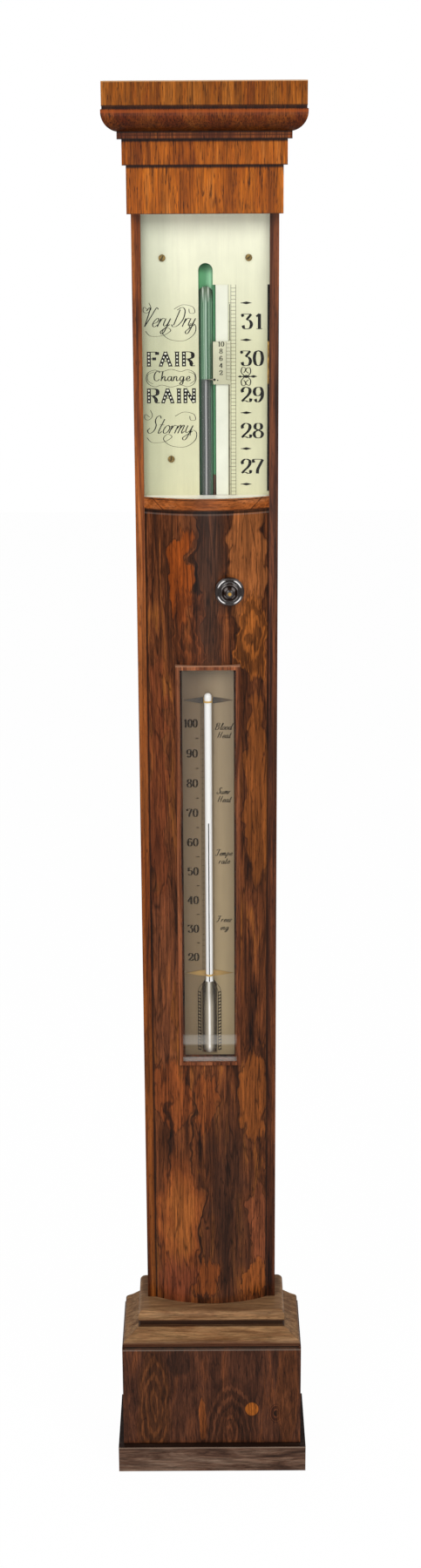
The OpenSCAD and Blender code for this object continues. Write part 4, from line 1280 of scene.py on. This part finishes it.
        # painted shade beside the white strip
        shade = Engraving("scale_shade", face, Paint("slot_shade", 0x746E58, 0x908A72, 6),
                          proud=0.03)
        shade.bar(16.5, -202.0, 16.5, -121.8, 1.0)
        shade.build()
        # painted shade: a dark bar in the gap between the strip and the scale plate
        gap = Engraving("scale_gap", face)
        gap.bar(16.8, -91.0, 16.8, -66.0, 0.45)
        gap.build()

    def write_weather(self, cuts: Engraving, face: float) -> None:
        """Writes the weather words left of the tube, with their flourishes.

        Args:
            cuts: the engraving that they join.
            face: depth of the plate's front, in metres.
        """
        middle = self.words_x
        studs = Engraving("letter_studs", face, Paint("bare_silver", 0xE4E3CC, 0xF0EFDA),
                          proud=0.1)
        for text, foot, high, wide in (("FAIR", -108.6, 9.8, 1.02), ("RAIN", -134.3, 9.9, 0.99)):
            hand = Hand(high, 0.5, 2.7, wide)
            cuts.word(text, middle, foot, hand)
            studs.studs(text, middle, foot, hand)
        studs.build()
        dry, stormy = self.script_feet
        cuts.word("Change", middle, -118.9, Hand(6.8, 0.34, 0.84, 0.96))
        cuts.word("Very Dry", middle - 2.6, dry, Hand(13.0, 0.26, 0.8, 0.65, 0.36))
        cuts.word("Stormy", middle - 2.4, stormy, Hand(12.6, 0.26, 0.8, 0.74, 0.36))
        cuts.pen(path("-36 -111.2,-40.5 -113,-42 -117,-40.5 -121,-36 -123,-31 -121.8,"
                      "-24.5 -123.2,-18 -121.8,-13 -123,-8.5 -121,-7 -117,-8.5 -113,"
                      "-13 -111.2,-18 -112.4,-24.5 -110.8,-31 -112.4,-36 -111.2"), 0.22, 0.55)
        for side in (-1, 1):
            cuts.pen(path("12 -112.6,16.2 -114.4,16.4 -118.6,13 -121", middle, across=side),
                     0.18, 0.4)
        for foot in self.script_feet:
            for stroke, stem in (
                    ("-40 11.5,-43 13.5,-43.4 10.4,-40.6 9.6,-38 12.4,-39.4 16.4", 0.5),
                    ("-42 -3,-38.4 -6.4,-30 -6,-24.4 -2.6,-27.6 -.6,-30.4 -4.2,-25 -8.8,"
                     "-15 -9.6,-8 -5,-7 .6,-10.4 2.2,-11.6 -1.6", 0.6),
                    ("-22 12,-16 15,-9 13.6,-7.6 9.6,-11 9.4,-11.6 12.2", 0.5)):
                cuts.pen(path(stroke, z=foot), 0.2, stem)


@dataclass(frozen=True)
class VernierDrive:
    """The vernier, its carriage, the rack and the knob that moves them."""

    index_z: float = -118.1
    figure_x: float = 10.6
    line_x: float = 14.4
    tick_x: float = 16.9
    divisions: int = 10
    knob_x: float = 16.0
    knob_z: float = -266.1

    def dress(self) -> None:
        """Gives the moving pieces their finishes."""
        dress(Silvered("vernier_silver", -122, -91, 0xBDBB9C, 0xC2C0A2, 0xD2D0B2),
              "vernier_plate")
        dress(BRASS, "vernier_carriage", "vernier_rack", "pinion", "knob_spindle",
              "knob_centre", "spindle_bush", "pinion_cock", "cock_screws", "portable_screw")
        # painted highlights on the knob's turned rings
        rings = ((3.1, 0x1A0F0B), (3.9, 0x948A86), (4.2, 0x948A86), (4.7, 0x1A0F0B),
                 (5.9, 0x1A0F0B), (6.3, 0x9C928E), (6.6, 0x1A0F0B), (8.2, 0x1A0F0B),
                 (8.6, 0xFAF6F4), (9.0, 0xFAF6F4), (9.4, 0x1E1210), (10.6, 0x5A5250))
        dress(Turned("ebony", 0x20120C, (self.knob_x, self.knob_z), rings), "vernier_knob")

    def engrave(self) -> None:
        """Cuts the vernier's figures and divisions, and blackens its index."""
        low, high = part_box("vernier_plate")
        cuts = Engraving("vernier_engraving", low.y, body="vernier")
        foot, head = low.z / MM + 3.2, high.z / MM
        figures = Hand(3.2, 0.26, 0.72, 0.82)
        cuts.bar(self.line_x, foot, self.line_x, head, 0.22)
        for i in range(self.divisions + 1):
            z = foot + i * (head - 1.6 - foot) / self.divisions
            cuts.bar(self.line_x, z, self.tick_x, z, 0.2)
            if i and i % 2 == 0:
                cuts.word(str(i), self.figure_x, z - figures.high / 2, figures)
        cuts.bar(-0.9, self.index_z, 5.4, self.index_z, 0.44)
        cuts.diamond(6.0, self.index_z, 1.1, 1.1)
        cuts.disc(8.2, self.index_z - 0.4, 0.5)
        cuts.build()


@dataclass(frozen=True)
class Thermometer:
    """The thermometer let into the front of the trunk."""

    twenty: float = -553.5
    degree: float = 2.32
    thread_z: float = -444.0
    bulb_z: float = -571.6
    lines: Triple = (-5.2, -4.2, 3.6)
    tick_x: float = -3.3
    mark_x: float = -8.2
    figure_x: float = -11.9
    script_x: float = 10.8

    def reading(self, degrees: float) -> float:
        """The height of a temperature on the scale, in millimetres from the hook."""
        return self.twenty + (degrees - 20) * self.degree

    def dress(self) -> None:
        """Gives the frame, the plate and the tube their finishes."""
        # a painted highlight along the top rail's upper face
        dress(Wood("frame_rosewood", (0x42200F, 0x6E3A20, 0x8A4E2E, 0xA26440), figure=5, run=30,
                   seed=2.6, ink=0.4, seams=(Seam(-321.6, 0.6, 0xB08468, 0.6),)),
              "thermometer_frame")
        dress(Silvered("thermometer_silver", -630, -325, 0xA6926C, 0xA08C6A, 0x907E64,
                       0xC4BCB8, edge=20, change=(0.3, 0.72)), "thermometer_plate")
        dress(self.stem(), "thermometer_tube")
        # painted reflection bands across the glass
        bands = ((-638.0, 0.18), (-633.0, 0.14), (-632.4, 0.0), (-622.6, 0.0), (-621.4, 0.11),
                 (-614.8, 0.08), (-613.6, 0.0))
        dress(Glass("flat_glass", 0xE2DED6, 0.01, 0.06, bands), "thermometer_glass")
        grey = ((-19.0, 0x46341C), (-3.4, 0x241B0F), (-3.1, 0xC8A258), (3.1, 0xC8A258),
                (3.4, 0x241B0F), (19.0, 0x5A4424))
        gold = ((-19.0, 0x8A6A30), (-3.0, 0xA88442), (0.0, 0xD8B060), (3.0, 0xA88442),
                (19.0, 0x8A6A30))
        dress(Striped("clip_brass", 20.0, (Zone(0.0, grey), Zone(-400.0, gold)), 0.3, 0.5),
              "thermometer_clips")

    def stem(self) -> Striped:
        """The tube's colours: white enamel, the dark thread and the silvery bulb, with painted
        shade at the edges and painted highlights.

        Returns:
            The finish.
        """
        # painted shade at the enamel's edges
        left, right = ((-2.8, 0xB0ADA6), (-2.3, 0xEFEEEA)), ((2.3, 0xEFEEEA), (2.8, 0xB0ADA6))
        thread = (*left, (-0.5, 0xF4F3F0), (-0.34, 0x181614), (0.34, 0x181614), (0.5, 0xF4F3F0),
                  *right)
        # the bulb's shoulder and the bulb: painted shade at their edges and a painted highlight
        # down the middle
        shoulder = ((-5.1, 0x241F1A), (-3.6, 0x2A2620), (-2.6, 0x575040), (-1.4, 0x9C9484),
                    (-0.6, 0xDAD6CE), (0.0, 0xC6C0B4), (0.8, 0x8C8474), (2.0, 0x5A5242),
                    (3.2, 0x2A2620), (5.1, 0x241F1A))
        bulb = ((-5.1, 0x2A241E), (-4.3, 0x3A332A), (-3.3, 0x766C5A), (-1.9, 0x948A77),
                (-1.0, 0xB0A694), (-0.5, 0xF2EFE8), (0.3, 0xF2EFE8), (0.9, 0xACA291),
                (2.4, 0x847A68), (3.4, 0x5C5344), (4.3, 0x322C24), (5.1, 0x241F1A))
        # the foot: painted shade at the edges and a painted highlight down the middle
        foot = ((-5.1, 0x2A241E), (-2.6, 0x5A5244), (-0.4, 0xA8A092), (0.6, 0xA8A092),
                (2.8, 0x5A5244), (5.1, 0x241F1A))
        zones = (Zone(0.0, left + right), Zone(self.thread_z, thread),
                 Zone(self.bulb_z, shoulder), Zone(self.bulb_z - 14, bulb, 6.0),
                 Zone(self.bulb_z - 54.5, foot, 1.5))
        return Striped("enamel", 5.5, zones, 0.12, 0.4)

    def engrave(self) -> None:
        """Cuts the scale, the figures, the words and the border of the bulb."""
        cuts = Engraving("thermometer_engraving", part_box("thermometer_plate")[0].y,
                         Paint("brown_wax", 0x241C13, 0x30271B, 6, 0.6, 0.1))
        first, last, top_figure = 16, 108, 100
        for ten in range(20, top_figure, 10):
            cuts.word(str(ten), self.figure_x, self.reading(ten) - 3.0,
                      Hand(6.0, 0.48, 1.5, 0.72))
            cuts.diamond(self.mark_x, self.reading(ten + 5), 1.7, 0.42)
        cuts.word(str(top_figure), self.figure_x - 1.0, self.reading(top_figure) - 3.0,
                  Hand(6.0, 0.48, 1.5, 0.62))
        for degrees in range(first, last, 2):
            z = self.reading(degrees)
            cuts.bar(self.lines[0], z, self.tick_x, z, 0.2)
        for x in self.lines:
            cuts.bar(x, self.reading(first - 1), x, self.reading(last), 0.2)
        hand = Hand(5.0, 0.3, 0.7, 0.78, 0.3)
        for upper, lower, degrees in (("Blood", "Heat", 97.5), ("Sumr", "Heat", 76),
                                      ("Tempe", "rate", 55), ("Ƒreez", "ing", 32)):
            cuts.word(upper, self.script_x, self.reading(degrees) + 0.8, hand)
            cuts.word(lower, self.script_x + 0.4, self.reading(degrees) - 5.6, hand)
        self.border(cuts)
        cuts.build()

    @staticmethod
    def border(cuts: Engraving) -> None:
        """Cuts the hatched border round the opening of the bulb.

        Args:
            cuts: the engraving that it joins.
        """
        foot, head, inner, outer, hatches, facets = -631.0, -583.0, 6.6, 8.8, 19, 8
        for side in (-1, 1):
            for x in (inner, outer):
                cuts.bar(side * x, foot, side * x, head, 0.5)
            for i in range(hatches):
                z = foot + i * (head - foot) / (hatches - 1)
                cuts.bar(side * inner, z, side * outer, z + 1.0, 0.95)
        for size in (inner, outer):
            turns = [math.pi * i / facets for i in range(facets + 1)]
            arch = [(-size * math.cos(a), head + size * 1.1 * math.sin(a)) for a in turns]
            cuts.ribbon(arch, [0.2] * len(arch))


@dataclass(frozen=True)
class Studio:
    """A pale floor, soft lamps and the photograph's camera, in metres and watts."""

    eye: Triple = (0.0016, -1.5725, 0.0848)
    tilt: float = 18.0
    roll: float = -0.316
    lens: float = 50.0
    sensor: float = 36.0
    aim: Triple = (0.0, -0.05, -0.45)
    sky: float = 0.42
    white: float = 0.965
    glow: float = 1.012

    def set_camera(self) -> None:
        """Places the camera at the photograph's viewing angle."""
        data = bpy.data.cameras.new("camera")
        data.lens = self.lens
        data.sensor_width = self.sensor
        camera = enter("camera", data)
        pitch = Matrix.Rotation(math.radians(90 - self.tilt), 4, "X")
        roll = Matrix.Rotation(math.radians(self.roll), 4, "Z")
        camera.matrix_world = Matrix.Translation(self.eye) @ pitch @ roll
        bpy.context.scene.camera = camera

    def lay_floor(self) -> None:
        """Lays a pale floor under the skirt, which the camera sees as white."""
        bpy.ops.object.select_all(action="DESELECT")
        bpy.ops.mesh.primitive_plane_add(size=8)
        floor = bpy.context.active_object
        floor.name = "floor"
        floor.location.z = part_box("skirt_front")[0].z - 0.0005
        recipe = Recipe("floor_paper")
        fleck = recipe.noise(recipe.place(), 0.05, 2)
        recipe.colour(recipe.ramp(fleck, ((0.0, 0xE2E2E2), (1.0, 0xE8E8E7))))
        recipe.gloss(0.9, specular=0.0)
        recipe.show(recipe.output, recipe.shader.outputs[0],
                    recipe.add("Emission", {"Strength": self.glow}), self.white)
        floor.data.materials.append(recipe.material)

    def light(self) -> None:
        """Sets the world's soft light and three broad lamps."""
        world = bpy.data.worlds.new("studio")
        bpy.context.scene.world = world
        world.use_nodes = True
        sky = Graph(world.node_tree)
        output = sky.nodes.new("ShaderNodeOutputWorld").inputs[0]
        soft = sky.add("Background", {"Color": (0.97, 0.98, 1.0, 1), "Strength": self.sky})
        white = sky.add("Background", {"Color": (1, 1, 1, 1), "Strength": 1.0})
        sky.show(output, soft, white, 1.0)
        self.lamp("left_softbox", (-1.1, -1.9, 1.1), 1.2, 28)
        self.lamp("right_softbox", (1.3, -1.9, 1.0), 1.2, 24)
        self.lamp("low_softbox", (0.0, -2.2, -0.4), 0.8, 5.5)

    def lamp(self, name: str, at: Triple, size: float, power: float) -> None:
        """Adds one square lamp that faces the middle of the case.

        Args:
            name: its name.
            at: its place.
            size: length of its side.
            power: its power.
        """
        data = bpy.data.lights.new(name, "AREA")
        data.size = size
        data.energy = power
        lamp = enter(name, data)
        lamp.location = at
        gaze = Vector(self.aim) - Vector(at)
        lamp.rotation_euler = gaze.to_track_quat("-Z", "Y").to_euler()


def main() -> None:
    """Builds the studio and then the sub-assemblies, in order."""
    logging.basicConfig(level=logging.INFO, format="%(name)s: %(message)s")
    bpy.context.scene.view_settings.view_transform = "Standard"
    studio = Studio()
    studio.set_camera()
    studio.lay_floor()
    studio.light()
    Case().dress()
    for assembly in (Register(), VernierDrive(), Thermometer()):
        assembly.dress()
        assembly.engrave()


if __name__ == "__main__":
    main()
